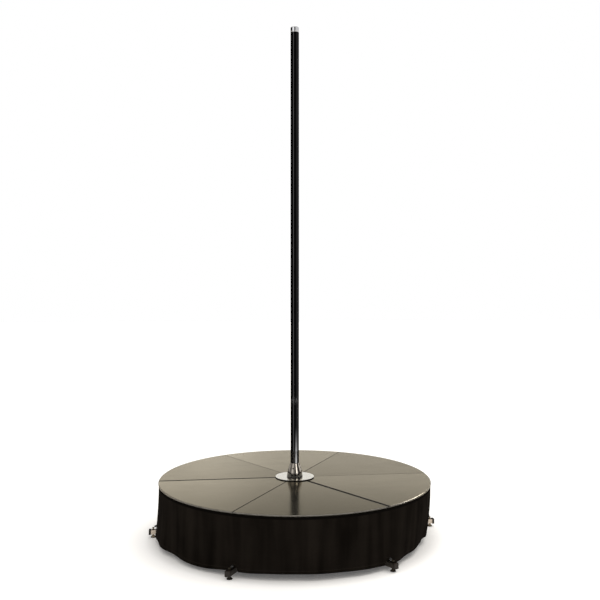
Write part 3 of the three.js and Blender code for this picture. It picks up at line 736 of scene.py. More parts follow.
class STAGE_OT_pole(bpy.types.Operator):
    """Two gloss black tubes that meet halfway, and the polished cap"""

    bl_idname = "stage.pole"
    bl_label = "Pole"

    def execute(self, context):
        sizes = context.scene.pole_sizes
        outer, inner, edge = sizes.radius, sizes.radius - sizes.wall, sizes.edge
        for node, name in (("pole_lower", "pole_tube_lower"), ("pole_upper", "pole_tube_upper")):
            low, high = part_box(node)
            profile = [
                (inner, low.z + edge), (inner + edge, low.z), (outer - edge, low.z), (outer, low.z + edge),
                (outer, high.z - edge), (outer - edge, high.z), (inner + edge, high.z),
                (inner, high.z - edge),
            ]
            tube = turned(profile, sizes.sides, closed=True)
            piece(tube, name, ["pole_coat"], "pole", [node], "pole_black")
        low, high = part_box("pole_cap")
        rim = low.z + sizes.plug
        groove, rounding = sizes.cap_groove, sizes.cap_round
        plug = inner - 0.3 * MM
        profile = [(0, low.z), (plug - MM, low.z), (plug, low.z + MM), (plug, rim)]
        profile += [(outer - groove, rim), (outer, rim + groove)]
        for rise in (3 * MM, 5 * MM):
            profile += [(outer, rim + rise), (outer - groove, rim + rise + groove)]
            profile += [(outer - groove, rim + rise + 2 * groove), (outer, rim + rise + 3 * groove)]
        profile += arc(outer - rounding, high.z - rounding, rounding, 0, 90, 8)
        profile += [(outer * 0.4, high.z), (0, high.z)]
        cap = turned(profile, sizes.sides)
        piece(cap, "pole_top_cap", ["cap_chrome"], "pole", ["pole_cap"], "chrome", 30)
        return {"FINISHED"}


# The collar's flank: share of its height, and share of the way from its foot to its mouth
FLANK_KNOTS = [(0.0, 0.0), (0.15, 0.05), (0.39, 0.2), (0.66, 0.56), (0.86, 0.86), (1.0, 1.0)]


def smooth_curve(knots, place):
    """Height at a place of the smooth curve through the knots."""
    right = next(k for k in range(1, len(knots)) if place <= knots[k][0] + 1e-9)
    (x0, y0), (x1, y1) = knots[right - 1], knots[right]
    before = knots[max(0, right - 2)]
    after = knots[min(len(knots) - 1, right + 1)]
    span = x1 - x0
    slope0 = (y1 - before[1]) / (x1 - before[0])
    slope1 = (after[1] - y0) / (after[0] - x0)
    t = (place - x0) / span
    return (
        (2 * t ** 3 - 3 * t ** 2 + 1) * y0 + (t ** 3 - 2 * t ** 2 + t) * span * slope0
        + (3 * t ** 2 - 2 * t ** 3) * y1 + (t ** 3 - t ** 2) * span * slope1
    )


def collar_mesh(sizes):
    """Conical collar with a lip at its foot, a stepped bore and a soft mouth."""
    bottom, top = COLLAR_LOW.z, COLLAR_HIGH.z
    base = (COLLAR_HIGH.y - COLLAR_LOW.y) / 2
    bore = sizes.radius + 0.8 * MM
    mouth = bore + 1.2 * MM
    lip = bottom + sizes.collar_lip
    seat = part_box("hub")[1].z + 0.3 * MM
    profile = [(base - 0.6 * MM, bottom), (base, bottom + 0.6 * MM), (base, lip)]
    profile.append((base - 0.8 * MM, lip + 0.6 * MM))
    steps = 32
    for step in range(steps):
        height = bottom + step / steps * (top - bottom)
        if height > lip + 1.5 * MM:
            profile.append((base - smooth_curve(FLANK_KNOTS, step / steps) * (base - mouth), height))
    profile += [(mouth - 0.2 * MM, top - 0.4 * MM), (mouth - 0.6 * MM, top), (bore, top), (bore, seat + MM)]
    profile += [(SEAT_BORE, seat + MM), (SEAT_BORE, seat), (NECK_BORE, seat), (NECK_BORE, bottom)]
    return turned(profile, sizes.sides, closed=True)


def grub_screw_mesh():
    """Short screw with a chamfered tip and a round socket, along +Z."""
    profile = [(0, -3), (2.6, -3), (4, -1.8), (4, 2.6), (3.6, 3), (2.5, 3), (2.3, 2.6), (2.3, 0), (0, -0.8)]
    return turned([(radius * MM, height * MM) for radius, height in profile], 30)


class STAGE_OT_collar(bpy.types.Operator):
    """Conical chrome collar round the pole's foot, with its lock screws"""

    bl_idname = "stage.collar"
    bl_label = "Collar and lock screws"

    def execute(self, context):
        sizes = context.scene.pole_sizes
        bm = collar_mesh(sizes)
        collar = piece(bm, "pole_collar", ["collar_chrome"], "stage", ["collar"], "chrome", 28)
        rise = COLLAR_LOW.z + sizes.screw_rise
        lying = Matrix.Rotation(math.pi / 2, 4, "Y")
        bore, inner_end, depth = 4.3 * MM, 24 * MM, 60 * MM
        holes = bmesh.new()
        screws = []
        for number in (1, 2):
            low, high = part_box(f"lock_screw_{number}")
            reach = Vector(((low.x + high.x) / 2, (low.y + high.y) / 2)).length
            outward = turn(math.atan2(low.y + high.y, low.x + high.x))
            hole = turned([(0, 0), (bore, 0), (bore, depth), (0, depth)], 32)
            join_into(holes, hole, outward @ Matrix.Translation((inner_end, 0, rise)) @ lying)
            screws.append(outward @ Matrix.Translation((reach, 0, rise)) @ lying)
        subtract(collar, holes)
        collar.data.set_sharp_from_angle(angle=math.radians(28))
        for number, place in enumerate(screws, 1):
            screw = grub_screw_mesh()
            screw.transform(place)
            body, node = f"lock_{number}", f"lock_screw_{number}"
            piece(screw, f"grub_screw_{number}", ["black_oxide"], body, [node], "foot_steel")
        return {"FINISHED"}


class STAGE_OT_cover(bpy.types.Operator):
    """Round satin steel plate that covers the panels' tips"""

    bl_idname = "stage.cover"
    bl_label = "Cover plate"

    def execute(self, context):
        sizes = context.scene.pole_sizes
        radius = (COVER_HIGH.y - COVER_LOW.y) / 2
        bottom, top, rounding = COVER_LOW.z, COVER_HIGH.z, sizes.cover_round
        profile = [(NECK_BORE, bottom), (radius - 0.5 * MM, bottom), (radius, bottom + 0.5 * MM)]
        profile += arc(radius - rounding, top - rounding, rounding, 0, 90, 5)
        inner_ring = 80 * MM
        profile += [(inner_ring, top), (NECK_BORE, top)]
        bm = turned(profile, sizes.sides + 32, closed=True)
        # The plate's side and rounded edge take the dark colour as painted shade.
        for face in bm.faces:
            face.material_index = 1 if abs(face.normal.z) < 0.9 else 0
        finishes = ["lathe_steel", "black_oxide"]
        piece(bm, "centre_plate", finishes, "stage", ["cover_plate"], "satin_plate", 30)
        return {"FINISHED"}


# Skirt

# How far the hem stands out beside the radius, and how high it hangs beside the drop, at even places
FRONT_FLARE_SHARES = (0.018, 0.017, 0.013, 0.009, 0.003, -0.002, 0, 0.003, 0.006, -0.016, -0.036, -0.028, 0)
REAR_FLARE_SHARES = (
    0.02, 0.006, -0.008, 0.003, 0.004, -0.01, -0.004, 0.004, 0.003, -0.008, 0.002, 0.01, 0.016,
)
FRONT_LIFT_SHARES = (0.01, 0, -0.01, -0.03, 0, 0.015, 0.02, 0.01, -0.005, 0.02, 0.05, 0.045, 0.005)
REAR_LIFT_SHARES = (-0.005, 0.01, 0.02, 0, 0.01, 0.02, 0.01, 0, 0.01, 0.02, 0.01, 0, 0.01)

# Single folds: place along the half skirt, width, both as shares of it, and depth at the hem in mm
FRONT_FOLDS = (
    (0.030, 0.014, 3.0), (0.100, 0.030, 7.0), (0.150, 0.022, -5.0), (0.205, 0.024, 3.0),
    (0.265, 0.028, 5.0), (0.315, 0.024, -4.0), (0.690, 0.030, 3.5), (0.765, 0.020, -4.5),
    (0.815, 0.012, 4.0), (0.845, 0.010, -4.0), (0.875, 0.010, 4.5), (0.905, 0.010, -4.0),
    (0.940, 0.012, 4.5), (0.975, 0.010, -2.0),
)
REAR_FOLDS = (
    (0.025, 0.012, 4.0), (0.085, 0.018, -4.0), (0.150, 0.016, 4.5), (0.235, 0.020, -3.0),
    (0.330, 0.018, 4.0), (0.400, 0.014, -3.5), (0.480, 0.020, 3.5), (0.570, 0.016, -4.0),
    (0.660, 0.018, 4.0), (0.740, 0.014, -3.0), (0.820, 0.018, 4.0), (0.900, 0.014, -4.0),
    (0.960, 0.014, 3.0),
)


def value_along(shares, across):
    """Value of a table of shares between its places, eased like the solid's."""
    place = across * (len(shares) - 1)
    left = min(int(place), len(shares) - 2)
    ease = (1 - math.cos((place - left) * math.pi)) / 2
    return shares[left] + (shares[left + 1] - shares[left]) * ease


def smooth_step(low, high, value):
    t = max(0.0, min(1.0, (value - low) / (high - low)))
    return t * t * (3 - 2 * t)


def hem_height(sizes, across, start, lifts):
    """Height of the hem: lifted by the table, and over each arm up to the notch."""
    height = sizes.hem + value_along(lifts, across) * (sizes.top - sizes.hem)
    step = math.pi / 3
    aside = abs((start + across * math.pi + step / 2) % step - step / 2) * sizes.radius
    if min(across, 1 - across) * math.pi * sizes.radius < sizes.notch_half * 2:
        return height
    rise = 1 - smooth_step(sizes.notch_half, sizes.notch_half + sizes.notch_round, aside)
    return height + (sizes.notch_top - height) * rise


def skirt_rows(sizes):
    """Undeformed row places below the skirt's top, closer at the band and at the hem."""
    drop = sizes.top - sizes.hem
    band = [0, 1.2 * MM, sizes.band * 0.5, sizes.band - MM, sizes.band]
    hem = [drop - sizes.hem_turn - MM, drop - sizes.hem_turn, drop - 0.66 * sizes.hem_turn]
    hem += [drop - 0.33 * sizes.hem_turn, drop - MM, drop]
    middle_count = 30
    body = [sizes.band + (hem[0] - sizes.band) * (i + 1) / (middle_count + 1) for i in range(middle_count)]
    return band + body + hem


def give_threads(bm, place_of):
    """Lays the cloth's own coordinates, in metres along and down the cloth, into its threads layer."""
    threads = bm.loops.layers.uv.new("threads")
    for face in bm.faces:
        for loop in face.loops:
            loop[threads].uv = place_of(loop.vert)


def skirt_half(sizes, start, flares, lifts, folds, seed):
    """Half a skirt: a swept band of cloth whose points then take its flare, folds and hem."""
    bm = bmesh.new()
    profile = [(sizes.radius, sizes.top - down) for down in skirt_rows(sizes)]
    sweep_profile(bm, profile, 180, sizes.columns, start)
    merge(bm)
    drop = sizes.top - sizes.hem
    ripple_depth, hem_swell = 0.35 * MM, 0.45 * MM
    places = {}
    for vert in bm.verts:
        around = (math.atan2(vert.co.y, vert.co.x) - start) % (2 * math.pi)
        if around > math.pi * 1.5:
            around = 0.0
        places[vert] = (min(around / math.pi, 1.0), sizes.top - vert.co.z)
    give_threads(bm, lambda vert: (places[vert][0] * math.pi * sizes.radius, drop - places[vert][1]))
    for vert, (across, down) in places.items():
        hang = max(0.0, (down - sizes.band) / (drop - sizes.band))
        slit = sizes.slit_top + (sizes.slit_hem - sizes.slit_top) * hang
        trim = slit / sizes.radius
        around = start + trim + across * (math.pi - 2 * trim)
        soft = hang ** 1.25
        wave = 9 * across + 0.32 * math.sin(3 * math.pi * across)
        out = sizes.fold * hang * math.sin(2 * math.pi * wave)
        out += value_along(flares, across) * sizes.radius * hang * hang
        for place, width, depth in folds:
            lean = place + 0.006 * math.sin(seed + 40 * place) * hang
            spread = width * (0.75 + 0.5 * hang)
            out += depth * MM * soft * math.exp(-((across - lean) / spread) ** 2)
        ripple = math.sin(61 * across + seed) + 0.6 * math.sin(97 * across + 2.1 * seed + 1.5 * hang)
        out += ripple_depth * ripple * soft
        height = sizes.top - down
        if down > sizes.band:
            bottom = hem_height(sizes, across, start, lifts)
            height = sizes.top - sizes.band - (sizes.top - sizes.band - bottom) * hang
        if down >= drop - sizes.hem_turn - 1e-6:
            out += hem_swell
        radius = sizes.radius + out
        vert.co = Vector((radius * math.cos(around), radius * math.sin(around), height))
    face_outward(bm)
    face = next(iter(bm.faces))
    if face.normal.xy.dot(face.calc_center_median().xy) < 0:
        bmesh.ops.reverse_faces(bm, faces=bm.faces)
    return bm


def band_strip(sizes, start):
    """Webbing band sewn along the top of half a skirt."""
    bm = bmesh.new()
    trim = math.degrees(sizes.slit_top / sizes.radius)
    outside = sizes.radius + sizes.cloth / 2 + sizes.band_stand
    inside = sizes.radius + sizes.cloth / 2 + 0.02 * MM
    top, low = sizes.top - 0.2 * MM, sizes.top - sizes.band
    edge = 0.25 * MM
    profile = [
        (inside, low), (outside - edge, low), (outside, low + edge), (outside, top - edge),
        (outside - edge, top), (inside, top), (inside, low),
    ]
    sweep_profile(bm, profile, 180 - 2 * trim, 240, start + math.radians(trim))
    merge(bm)
    bmesh.ops.holes_fill(bm, edges=[e for e in bm.edges if e.is_boundary], sides=8)

    def place_of(vert):
        around = (math.atan2(vert.co.y, vert.co.x) - start) % (2 * math.pi)
        return around * sizes.radius, vert.co.z

    give_threads(bm, place_of)
    face_outward(bm)
    return bm


class STAGE_OT_skirt(bpy.types.Operator):
    """Two hanging skirt halves with folds, turned hems and a sewn band"""

    bl_idname = "stage.skirt"
    bl_label = "Skirt"

    def execute(self, context):
        sizes = context.scene.skirt_sizes
        halves = (
            ("front", math.pi, FRONT_FLARE_SHARES, FRONT_LIFT_SHARES, FRONT_FOLDS, 0.7),
            ("rear", 0.0, REAR_FLARE_SHARES, REAR_LIFT_SHARES, REAR_FOLDS, 2.9),
        )
        for name, start, flares, lifts, folds, seed in halves:
            half = skirt_half(sizes, start, flares, lifts, folds, seed)
            node = f"skirt_{name}"
            hanging = piece(half, f"cloth_{name}", ["woven_cloth"], "stage", [node], "skirt_cloth", 60)
            wall = hanging.modifiers.new("Cloth", "SOLIDIFY")
            wall.thickness = sizes.cloth
            wall.offset = 0
            strip = band_strip(sizes, start)
            band = piece(strip, f"band_{name}", ["ribbed_webbing"], "stage", slot="skirt_cloth", smooth=40)
        return {"FINISHED"}


# Feet and arm ends

def foot_places(number):
    """Matrices that carry +X along an arm and along its foot's lever, from the CAD pad and knob."""
    low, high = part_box(f"foot_pad_{number}")
    knob_low, knob_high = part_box(f"foot_knob_{number}")
    centre = (low + high) / 2
    run = (knob_low + knob_high) / 2 - centre
    stand = Matrix.Translation((centre.x, centre.y, 0))
    return stand @ turn(math.atan2(centre.y, centre.x)), stand @ turn(math.atan2(run.y, run.x))


def pad_mesh(sizes):
    """Conical pad: rubber sole, steel cone with a rounded neck, and the ball socket."""
    rim, top = sizes.pad_rim, PAD_HIGH.z
    radius = (PAD_HIGH.y - PAD_LOW.y) / 2
    neck = sizes.tip_radius + 2.6 * MM
    bore = sizes.tip_radius + 0.3 * MM
    sole = [
        (0, 0), (radius - 0.8 * MM, 0), (radius, 0.8 * MM), (radius, rim - 0.5 * MM),
        (radius - 0.5 * MM, rim), (0, rim),
    ]
    cone = [
        (radius - 1.4 * MM, rim), (radius - 1.4 * MM, rim + 1.2 * MM), (radius - 2 * MM, rim + 1.8 * MM),
        (neck + 3.2 * MM, rim + 5.6 * MM), (neck + 1.2 * MM, rim + 8.4 * MM), (neck, rim + 11.5 * MM),
        (neck, top - 0.5 * MM), (neck - 0.5 * MM, top), (bore, top), (bore, top - sizes.socket),
        (0, top - sizes.socket), (0, rim),
    ]
    bm = bmesh.new()
    join_into(bm, turned(sole, sizes.sides), material_index=1)
    join_into(bm, turned(cone, sizes.sides, closed=True))
    return bm


def thread_mesh(radius, depth, pitch, bottom, top, steps=24):
    """A raised ridge that winds up a screw: one rib section spun with a rise."""
    bm = bmesh.new()
    root = radius - depth - 0.1 * MM
    ridge = [(root, -0.42), (radius, -0.06), (radius, 0.06), (root, 0.42)]
    verts = [bm.verts.new((r, 0, bottom + pitch * (0.5 + z))) for r, z in ridge]
    edges = [bm.edges.new(pair) for pair in zip(verts, verts[1:] + verts[:1])]
    turns = int((top - bottom) / pitch) - 1
    spin(bm, verts, edges, 2 * math.pi * turns, steps * turns, rise=pitch / steps)
    merge(bm)
    bmesh.ops.holes_fill(bm, edges=[e for e in bm.edges if e.is_boundary], sides=5)
    face_outward(bm)
    return bm


def lever_place(sizes):
    """Matrix that lays a turned rod along the lever, from the middle of its hub outwards."""
    tilt = math.atan2(LEVER_RISE, LEVER_REACH)
    hub_middle = Matrix.Translation((0, 0, HUB_TOP - sizes.hub_height / 2))
    return hub_middle @ Matrix.Rotation(math.pi / 2 - tilt, 4, "Y")


def screw_mesh(sizes, bottom):
    """Foot screw with its thread, and the lever through its hub. Lever along +X."""
    core = sizes.screw_radius - sizes.thread_depth
    tip, hub, rod = sizes.tip_radius, sizes.hub_radius, sizes.lever_radius
    hub_bottom = HUB_TOP - sizes.hub_height
    thread_low = ARM_LOW.z
    stem = [
        (0, bottom), (tip - 0.5 * MM, bottom), (tip, bottom + 0.5 * MM), (tip, thread_low),
        (core, thread_low + 0.6 * MM), (core, hub_bottom), (hub - 0.6 * MM, hub_bottom),
        (hub, hub_bottom + 0.6 * MM), (hub, HUB_TOP - 1.6 * MM), (hub - 1.6 * MM, HUB_TOP), (0, HUB_TOP),
    ]
    end = LEVER_LENGTH
    lever = [(0, 0), (rod, 0), (rod, end - 0.4 * MM), (rod - 0.4 * MM, end), (0, end)]
    bm = bmesh.new()
    join_into(bm, turned(stem, sizes.sides))
    join_into(bm, thread_mesh(sizes.screw_radius, sizes.thread_depth, sizes.pitch, thread_low, hub_bottom))
    join_into(bm, turned(lever, 24), lever_place(sizes))
    return bm


def knob_mesh(sizes):
    """Egg-shaped knob, turned from an oval profile with a flat collar."""
    start = LEVER_LENGTH - sizes.knob_length * 0.4
    half = sizes.knob_length / 2
    bore = sizes.lever_radius + 0.3 * MM
    profile = [(bore, start), (3.4 * MM, start)]
    for i in range(3, 17):
        a = math.pi * i / 16
        radius = sizes.knob_radius * math.sin(a) ** 0.9 if i < 16 else 0
        profile.append((radius, start + half - half * math.cos(a)))
    profile += [(0, LEVER_LENGTH + 0.5 * MM), (bore, LEVER_LENGTH + 0.3 * MM)]
    bm = turned(profile, 28, closed=True)
    bm.transform(lever_place(sizes))
    return bm


class STAGE_OT_feet(bpy.types.Operator):
    """Levelling feet: pads with rubber soles, threaded screws with levers, and knobs"""

    bl_idname = "stage.feet"
    bl_label = "Levelling feet"

    def execute(self, context):
        sizes = context.scene.foot_sizes
        for number in range(1, ARM_COUNT + 1):
            along_arm, along_lever = foot_places(number)
            screw = screw_mesh(sizes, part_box(f"foot_screw_{number}")[0].z)
            for kind, bm, place, finishes, body, slot, smooth in (
                ("pad", pad_mesh(sizes), along_arm, ["foot_zinc", "sole_rubber"], "foot", "foot_steel", 35),
                ("screw", screw, along_lever, ["foot_zinc"], "crank", "foot_steel", 35),
                ("knob", knob_mesh(sizes), along_lever, ["black_knob"], "crank", "knob_plastic", 50),
            ):
                bm.transform(place)
                node = f"foot_{kind}_{number}"
                piece(bm, f"{kind}_{number}", finishes, f"{body}_{number}", [node], slot, smooth)
        return {"FINISHED"}


def end_cap_mesh(sizes):
    """Hollow plastic cap on the first arm's end, open towards the stage."""
    wall, hollow = 2.2 * MM, 9.3 * MM
    bm = bmesh.new()
    box_of(bm, CAP_LOW, CAP_HIGH)
    lengthways = [e for e in bm.edges if abs(e.verts[0].co.x - e.verts[1].co.x) > MM]
    bevel_edges(bm, lengthways, sizes.cap_round, 5)
    outer = [f for f in bm.faces if f.normal.x > 0.9]
    bevel_edges(bm, {e for f in outer for e in f.edges}, sizes.cap_bevel, 3)
    inner = [f for f in bm.faces if f.normal.x < -0.9]
    bmesh.ops.inset_region(bm, faces=inner, thickness=wall, depth=0, use_even_offset=True)
    pushed = bmesh.ops.extrude_face_region(bm, geom=inner)
    moved = [v for v in pushed["geom"] if isinstance(v, bmesh.types.BMVert)]
    bmesh.ops.translate(bm, vec=(hollow, 0, 0), verts=moved)
    bmesh.ops.delete(bm, geom=inner, context="FACES")
    face_outward(bm)
    return bm


class STAGE_OT_arms(bpy.types.Operator):
    """End caps of the arms, and the plating of the truss arms, whose solids stay"""

    bl_idname = "stage.arms"
    bl_label = "Truss arms and end caps"

    def execute(self, context):
        for number in range(1, ARM_COUNT + 1):
            cap = end_cap_mesh(context.scene.foot_sizes)
            cap.transform(turn((number - 1) * math.pi / 3))
            node = f"arm_end_cap_{number}"
            piece(cap, f"end_cap_{number}", ["brown_cap"], "stage", [node], "end_cap_plastic")
            coat_solid(f"arm_{number}", "arm_zinc")
        return {"FINISHED"}


class STAGE_OT_inside(bpy.types.Operator):
    """Finishes of the CAD pieces that stay: hub, pins, bearings, spindle and joiner"""

    bl_idname = "stage.inside"
    bl_label = "Hub and bearings"

    def execute(self, context):
        coat_solid("hub", "arm_zinc")
        for node in ("spindle", "pole_joiner"):
            coat_solid(node, "ground_steel")
        for number in range(1, ARM_COUNT + 1):
            coat_solid(f"arm_pin_{number}", "pin_zinc")
        for place in ("lower", "upper"):
            for part in ("outer_ring", "inner_ring", "balls"):
                coat_solid(f"{place}_bearing_{part}", "ground_steel")
        return {"FINISHED"}


# Studio

# Cards as (first angle, last angle, strength, fades), angles in degrees to the right of the camera.
# A fade is (axis, start, end, share left at the end), along a stage axis.
POLE_CARDS = (
    (-156, -76, 0.01), (-76, -54, 0.05), (-54, -43, 0.01), (-43, -23, 2.3), (-23, 10, 0.0),
    (10, 36, 0.09), (36, 68, 0.4), (68, 100, 0.72), (100, 128, 0.45), (128, 156, 0.2),
)
LOW_CARDS = (
    *POLE_CARDS[:5], (10, 36, 4.0, ("Z", 0.1, 0.3, 0.03)), (36, 68, 6.5, ("Z", 0.1, 0.3, 0.06)),
    (68, 100, 1.4, ("Z", 0.1, 0.3, 0.5)), *POLE_CARDS[8:],
)
FOOT_CARDS = ((-60, 60, 0.85), (60, 300, 0.12))
CAP_CARDS = ((-156, -66, 0.0), (-66, -22, 1.15), (-22, 24, 0.24), (24, 200, 0.74))
COLLAR_CARDS = tuple((start, end, strength, ("Z", 4.2, 5.6, 0.15)) for start, end, strength in (
    (-156, -100, 0.36), (-100, -74, 0.15), (-74, -52, 0.15), (-52, -32, 0.64), (-32, -13, 0.34),
    (-13, 8, 0.12), (8, 26, 0.1), (26, 43, 2.0), (43, 60, 0.2), (60, 90, 0.01), (90, 118, 0.5),
    (118, 200, 0.7),
))
DECK_CARDS = (
    (160, 210, 1.56, ("X", -0.6, 0.6, 0.68), ("Z", 1.72, 2.02, 0.54)),
    (98, 160, 1.1, ("Z", 2.4, 2.8, 8.0), ("Z", 3.6, 4.2, 0.12)),
    (-150, 98, 1.1, ("Z", 1.72, 2.02, 0.8)),
)
ROOM_CARDS = ((-60, 60, 0.5), (60, 300, 0.9))

# Lamps above the deck for the pole's foot: middle and width in degrees to the right of the camera, strength
POLE_FOOT_LAMPS = ((-33, 20, 0.9), (23, 26, 7.5), (49, 26, 14.0))
LAMP_REACH = 0.35
LAMP_LOW, LAMP_HIGH = 0.335, 0.47


def emitter(name, tint, strength, fades, clear):
    """A glowing card's finish. A clear card lets through what is behind it."""
    material = bpy.data.materials.new(name)
    material.use_nodes = True
    nodes = Nodes(material.node_tree)
    nodes.tree.nodes.clear()
    for axis, start, end, left in fades:
        fade = nodes.ramp(nodes.part(axis), 1.0, left, start, end, "SMOOTHSTEP")
        strength = nodes.math("MULTIPLY", strength, fade)
    glow = nodes.node("ShaderNodeEmission", Color=(*tint, 1), Strength=strength).outputs[0]
    if clear:
        both = nodes.node("ShaderNodeAddShader")
        nodes.feed(glow, both.inputs[0])
        nodes.feed(nodes.node("ShaderNodeBsdfTransparent").outputs[0], both.inputs[1])
        glow = both.outputs[0]
    nodes.node("ShaderNodeOutputMaterial", Surface=glow)


def hide_from(obj, *rays):
    for ray in rays:
        setattr(obj, f"visible_{ray}", False)


def studio_card(name, place, radius, heights, glow, seen_in):
    """A curved card round the stage, seen only in the reflections of some pieces. place is the
    angle of the camera and the card's first and last angle to the right of it."""
    facing, start, end = place
    bm = bmesh.new()
    first = turn(facing + math.radians(start))
    verts = [bm.verts.new(first @ Vector((radius, 0, height))) for height in heights]
    edge = bm.edges.new(verts)
    spin(bm, verts, [edge], math.radians(end - start), max(4, round((end - start) / 6)))
    inward = [f for f in bm.faces if f.normal.xy.dot(f.calc_center_median().xy) > 0]
    bmesh.ops.reverse_faces(bm, faces=inward)
    card = piece(bm, name, [glow], None)
    hide_from(card, "camera", "diffuse", "shadow", "transmission", "volume_scatter")
    card.light_linking.receiver_collection = seen_in


def group_of(name, pieces):
    """A collection of the pieces that some cards or lamps light."""
    group = bpy.data.collections.new(name)
    for one in pieces:
        group.objects.link(one)
    return group


def seen_directly(nodes):
    """1 for camera, glossy and transmission rays, which see the backdrop as plain white."""
    path = nodes.node("ShaderNodeLightPath")
    value = path.outputs["Is Camera Ray"]
    for other in ("Is Glossy Ray", "Is Transmission Ray"):
        value = nodes.math("MAXIMUM", value, path.outputs[other])
    return value


def add_lamp(name, kind, tint, outward, place):
    """A lamp that shines against the direction outward."""
    lamp = bpy.data.lights.new(name, kind)
    lamp.color = tint
    obj = bpy.data.objects.new(name, lamp)
    bpy.context.scene.collection.objects.link(obj)
    obj.rotation_euler = (-outward).to_track_quat("-Z", "Y").to_euler()
    obj.location = place
    return obj


def broad_sun(setup, facing):
    """A broad light at the right that casts the soft shadow."""
    flat, around = math.cos(setup.key_height), facing + setup.key_turn
    source = Vector((flat * math.cos(around), flat * math.sin(around), math.sin(setup.key_height)))
    obj = add_lamp("key_light", "SUN", setup.warm, source, source * 5)
    obj.data.energy = setup.key_strength
    obj.data.angle = setup.key_spread
    hide_from(obj, "glossy")


def pole_foot_lamp(name, tint, around, width, strength, seen_in):
    """A small lamp above the deck, seen only in the pole's reflection and fading towards its top."""
    outward = Vector((math.cos(around), math.sin(around), 0))
    middle = outward * LAMP_REACH + Vector((0, 0, (LAMP_LOW + LAMP_HIGH) / 2))
    obj = add_lamp(name, "AREA", tint, outward, middle)
    lamp = obj.data
    lamp.shape = "RECTANGLE"
    lamp.size = 2 * LAMP_REACH * math.tan(width / 2)
    lamp.size_y = LAMP_HIGH - LAMP_LOW
    lamp.energy = 4 * strength * lamp.size * lamp.size_y
    lamp.use_nodes = True
    nodes = Nodes(lamp.node_tree)
    up = nodes.part("Y", nodes.node("ShaderNodeNewGeometry").outputs["Parametric"])
    fade = nodes.ramp(up, 1.0, 0.05, 0.0, 0.9, "SMOOTHSTEP")
    nodes.feed(fade, nodes.tree.nodes["Emission"].inputs["Strength"])
    hide_from(obj, "camera", "diffuse", "transmission", "volume_scatter")
    obj.light_linking.receiver_collection = seen_in


def place_cards(context, setup, facing):
    """Rings of cards for groups of pieces, the room's wall, and the lamps for the pole's foot."""
    warm = (1.0, 0.98, 0.95)
    made = [o for o in context.scene.objects if o.type == "MESH" and not o.name.startswith("studio")]

    def named(*starts):
        return [o for o in made if o.name.startswith(starts)]

    pole, cap = named("pole_tube"), named("pole_top_cap")
    collar, deck = named("pole_collar"), named("panel_")
    feet = named("arm_", "end_cap", "pad_", "screw_", "knob_")
    rest = [o for o in made if o not in pole + cap + collar + deck + feet]
    rings = (
        ("pole", pole, POLE_CARDS, 5.0, (0.0, 6.0), warm),
        ("cap", cap, CAP_CARDS, 5.1, (0.0, 9.0), (0.98, 1.0, 1.07)),
        ("collar", collar, COLLAR_CARDS, 5.2, (0.0, 9.0), (1.0, 0.92, 0.83)),
        ("deck", deck, DECK_CARDS, 5.6, (0.3, 14.0), warm),
        ("room", rest, ROOM_CARDS, setup.card_radius, (0.0, 16.0), warm),
        ("low", pole, LOW_CARDS, 2.0, (0.0, 0.5), warm),
        ("near", feet, FOOT_CARDS, 1.9, (0.0, 0.5), warm),
        ("feet", feet, FOOT_CARDS, 5.7, (0.0, 15.0), warm),
    )
    for name, pieces, cards, radius, heights, tint in rings:
        group = group_of(f"lit_by_{name}_cards", pieces)
        for number, (start, end, strength, *fades) in enumerate(cards):
            emitter(f"{name}_{number}", tint, strength, fades, clear=name not in ("room", "low"))
            place = (facing, start, end)
            studio_card(f"studio_{name}_{number}", place, radius, heights, f"{name}_{number}", group)
    by_lamps = group_of("lit_by_pole_foot_lamps", pole)
    for number, (middle, width, strength) in enumerate(POLE_FOOT_LAMPS):
        name, around = f"studio_pole_foot_{number}", facing + math.radians(middle)
        pole_foot_lamp(name, setup.warm, around, math.radians(width), strength, by_lamps)


def add_floor(setup):
    """Pale floor that keeps the stage's shadow and adds some white of its own further out. Less white close
    round the stage paints a deeper shadow there.
    """
    bm = bmesh.new()
    bmesh.ops.create_grid(bm, x_segments=2, y_segments=2, size=40)
    bmesh.ops.translate(bm, vec=(0, 0, -0.1 * MM), verts=bm.verts)
    f = Finish("floor", setup.floor, 0.9)
    f.into(0.1, "Specular IOR Level")
    faint = f.noise(0.7, detail=2)
    f.into(f.mix(faint, shade(setup.floor, 0.995), shade(setup.floor, 1.005)), "Base Color")
    # Painted shadow: within 0.8 m of the pole the floor adds only 0.3 of its white, rising to all of it at
    # 0.88 m, which darkens a ring round the stage.
    glow_start, glow_full = 0.80, 0.88
    least = 0.3 * setup.floor_glow
    glow_outside_painted_shadow = f.ramp(f.distance_from_axis(), least, setup.floor_glow, glow_start, glow_full)
    glow = f.node("ShaderNodeEmission", Strength=f.math("MULTIPLY", seen_directly(f), glow_outside_painted_shadow))
    mixed = f.node("ShaderNodeAddShader")
    f.feed(f.shader.outputs["BSDF"], mixed.inputs[0])
    f.feed(glow.outputs["Emission"], mixed.inputs[1])
    out = next(n for n in f.tree.nodes if n.type == "OUTPUT_MATERIAL")
    f.feed(mixed.outputs[0], out.inputs["Surface"])
    floor = piece(bm, "studio_floor", ["floor"], None)


def add_room(scene, setup):
    """Plain room light, with a white backdrop where it is seen directly."""
    world = bpy.data.worlds.new("studio_room")
    scene.world = world
    world.use_nodes = True
    nodes = Nodes(world.node_tree)
    nodes.tree.nodes.clear()
    room = nodes.node("ShaderNodeBackground", Color=(1.0, 0.985, 0.96, 1), Strength=setup.ambient)
    white = nodes.node("ShaderNodeBackground", Color=(1, 1, 1, 1), Strength=1.0)
    blend = nodes.node("ShaderNodeMixShader", Fac=seen_directly(nodes))
    nodes.feed(room.outputs[0], blend.inputs[1])
    nodes.feed(white.outputs[0], blend.inputs[2])
    nodes.node("ShaderNodeOutputWorld", Surface=blend.outputs[0])


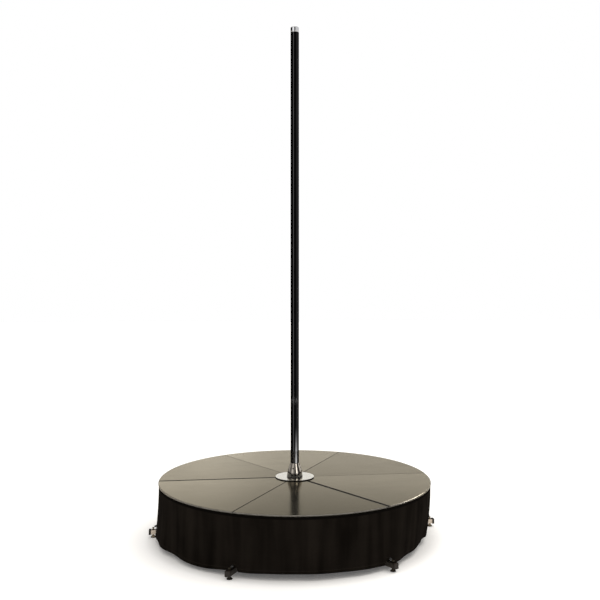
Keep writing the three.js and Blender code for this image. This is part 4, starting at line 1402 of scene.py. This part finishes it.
def add_camera(scene, setup):
    data = bpy.data.cameras.new("camera")
    data.sensor_width = 36.0
    data.lens = setup.focal_pixels / setup.picture * data.sensor_width
    data.shift_y = setup.shift_pixels / setup.picture
    camera = bpy.data.objects.new("camera", data)
    scene.collection.objects.link(camera)
    facing = turn(setup.azimuth)
    camera.location = facing @ Vector((setup.aside, -setup.distance, setup.height))
    camera.rotation_euler = (facing @ Matrix.Rotation(math.pi / 2, 4, "X")).to_euler()
    scene.camera = camera


class STAGE_OT_studio(bpy.types.Operator):
    """Floor, room light, lamps, reflecting cards and the camera"""

    bl_idname = "stage.studio"
    bl_label = "Studio"

    def execute(self, context):
        scene, setup = context.scene, context.scene.studio_setup
        facing = setup.azimuth - math.pi / 2
        add_floor(setup)
        add_room(scene, setup)
        broad_sun(setup, facing)
        place_cards(context, setup, facing)
        add_camera(scene, setup)
        scene.view_settings.view_transform = "Standard"
        return {"FINISHED"}


# Sidebar panel and registration

STEPS = (
    STAGE_OT_deck, STAGE_OT_pole, STAGE_OT_collar, STAGE_OT_cover, STAGE_OT_skirt, STAGE_OT_feet,
    STAGE_OT_arms, STAGE_OT_inside, STAGE_OT_studio,
)
GROUPS = {
    "deck_sizes": DeckSizes,
    "pole_sizes": PoleSizes,
    "skirt_sizes": SkirtSizes,
    "foot_sizes": FootSizes,
    "finish_colours": FinishColours,
    "studio_setup": StudioSetup,
}


class STAGE_PT_sidebar(bpy.types.Panel):
    """Buttons that make each group of pieces"""

    bl_idname = "STAGE_PT_sidebar"
    bl_label = "Dance Stage"
    bl_space_type = "VIEW_3D"
    bl_region_type = "UI"
    bl_category = "Dance Stage"

    def draw(self, context):
        for step in STEPS:
            self.layout.operator(step.bl_idname)
        for name, group in GROUPS.items():
            box = self.layout.box()
            box.label(text=group.__doc__)
            for prop in group.__annotations__:
                box.prop(getattr(context.scene, name), prop)


def register():
    for cls in (*GROUPS.values(), *STEPS, STAGE_PT_sidebar):
        bpy.utils.register_class(cls)
    for name, group in GROUPS.items():
        setattr(bpy.types.Scene, name, PointerProperty(type=group))


def unregister():
    for name in GROUPS:
        delattr(bpy.types.Scene, name)
    for cls in reversed((*GROUPS.values(), *STEPS, STAGE_PT_sidebar)):
        bpy.utils.unregister_class(cls)


def main():
    register()
    for step in STEPS:
        category, name = step.bl_idname.split(".")
        getattr(getattr(bpy.ops, category), name)()


if __name__ == "__main__":
    main()
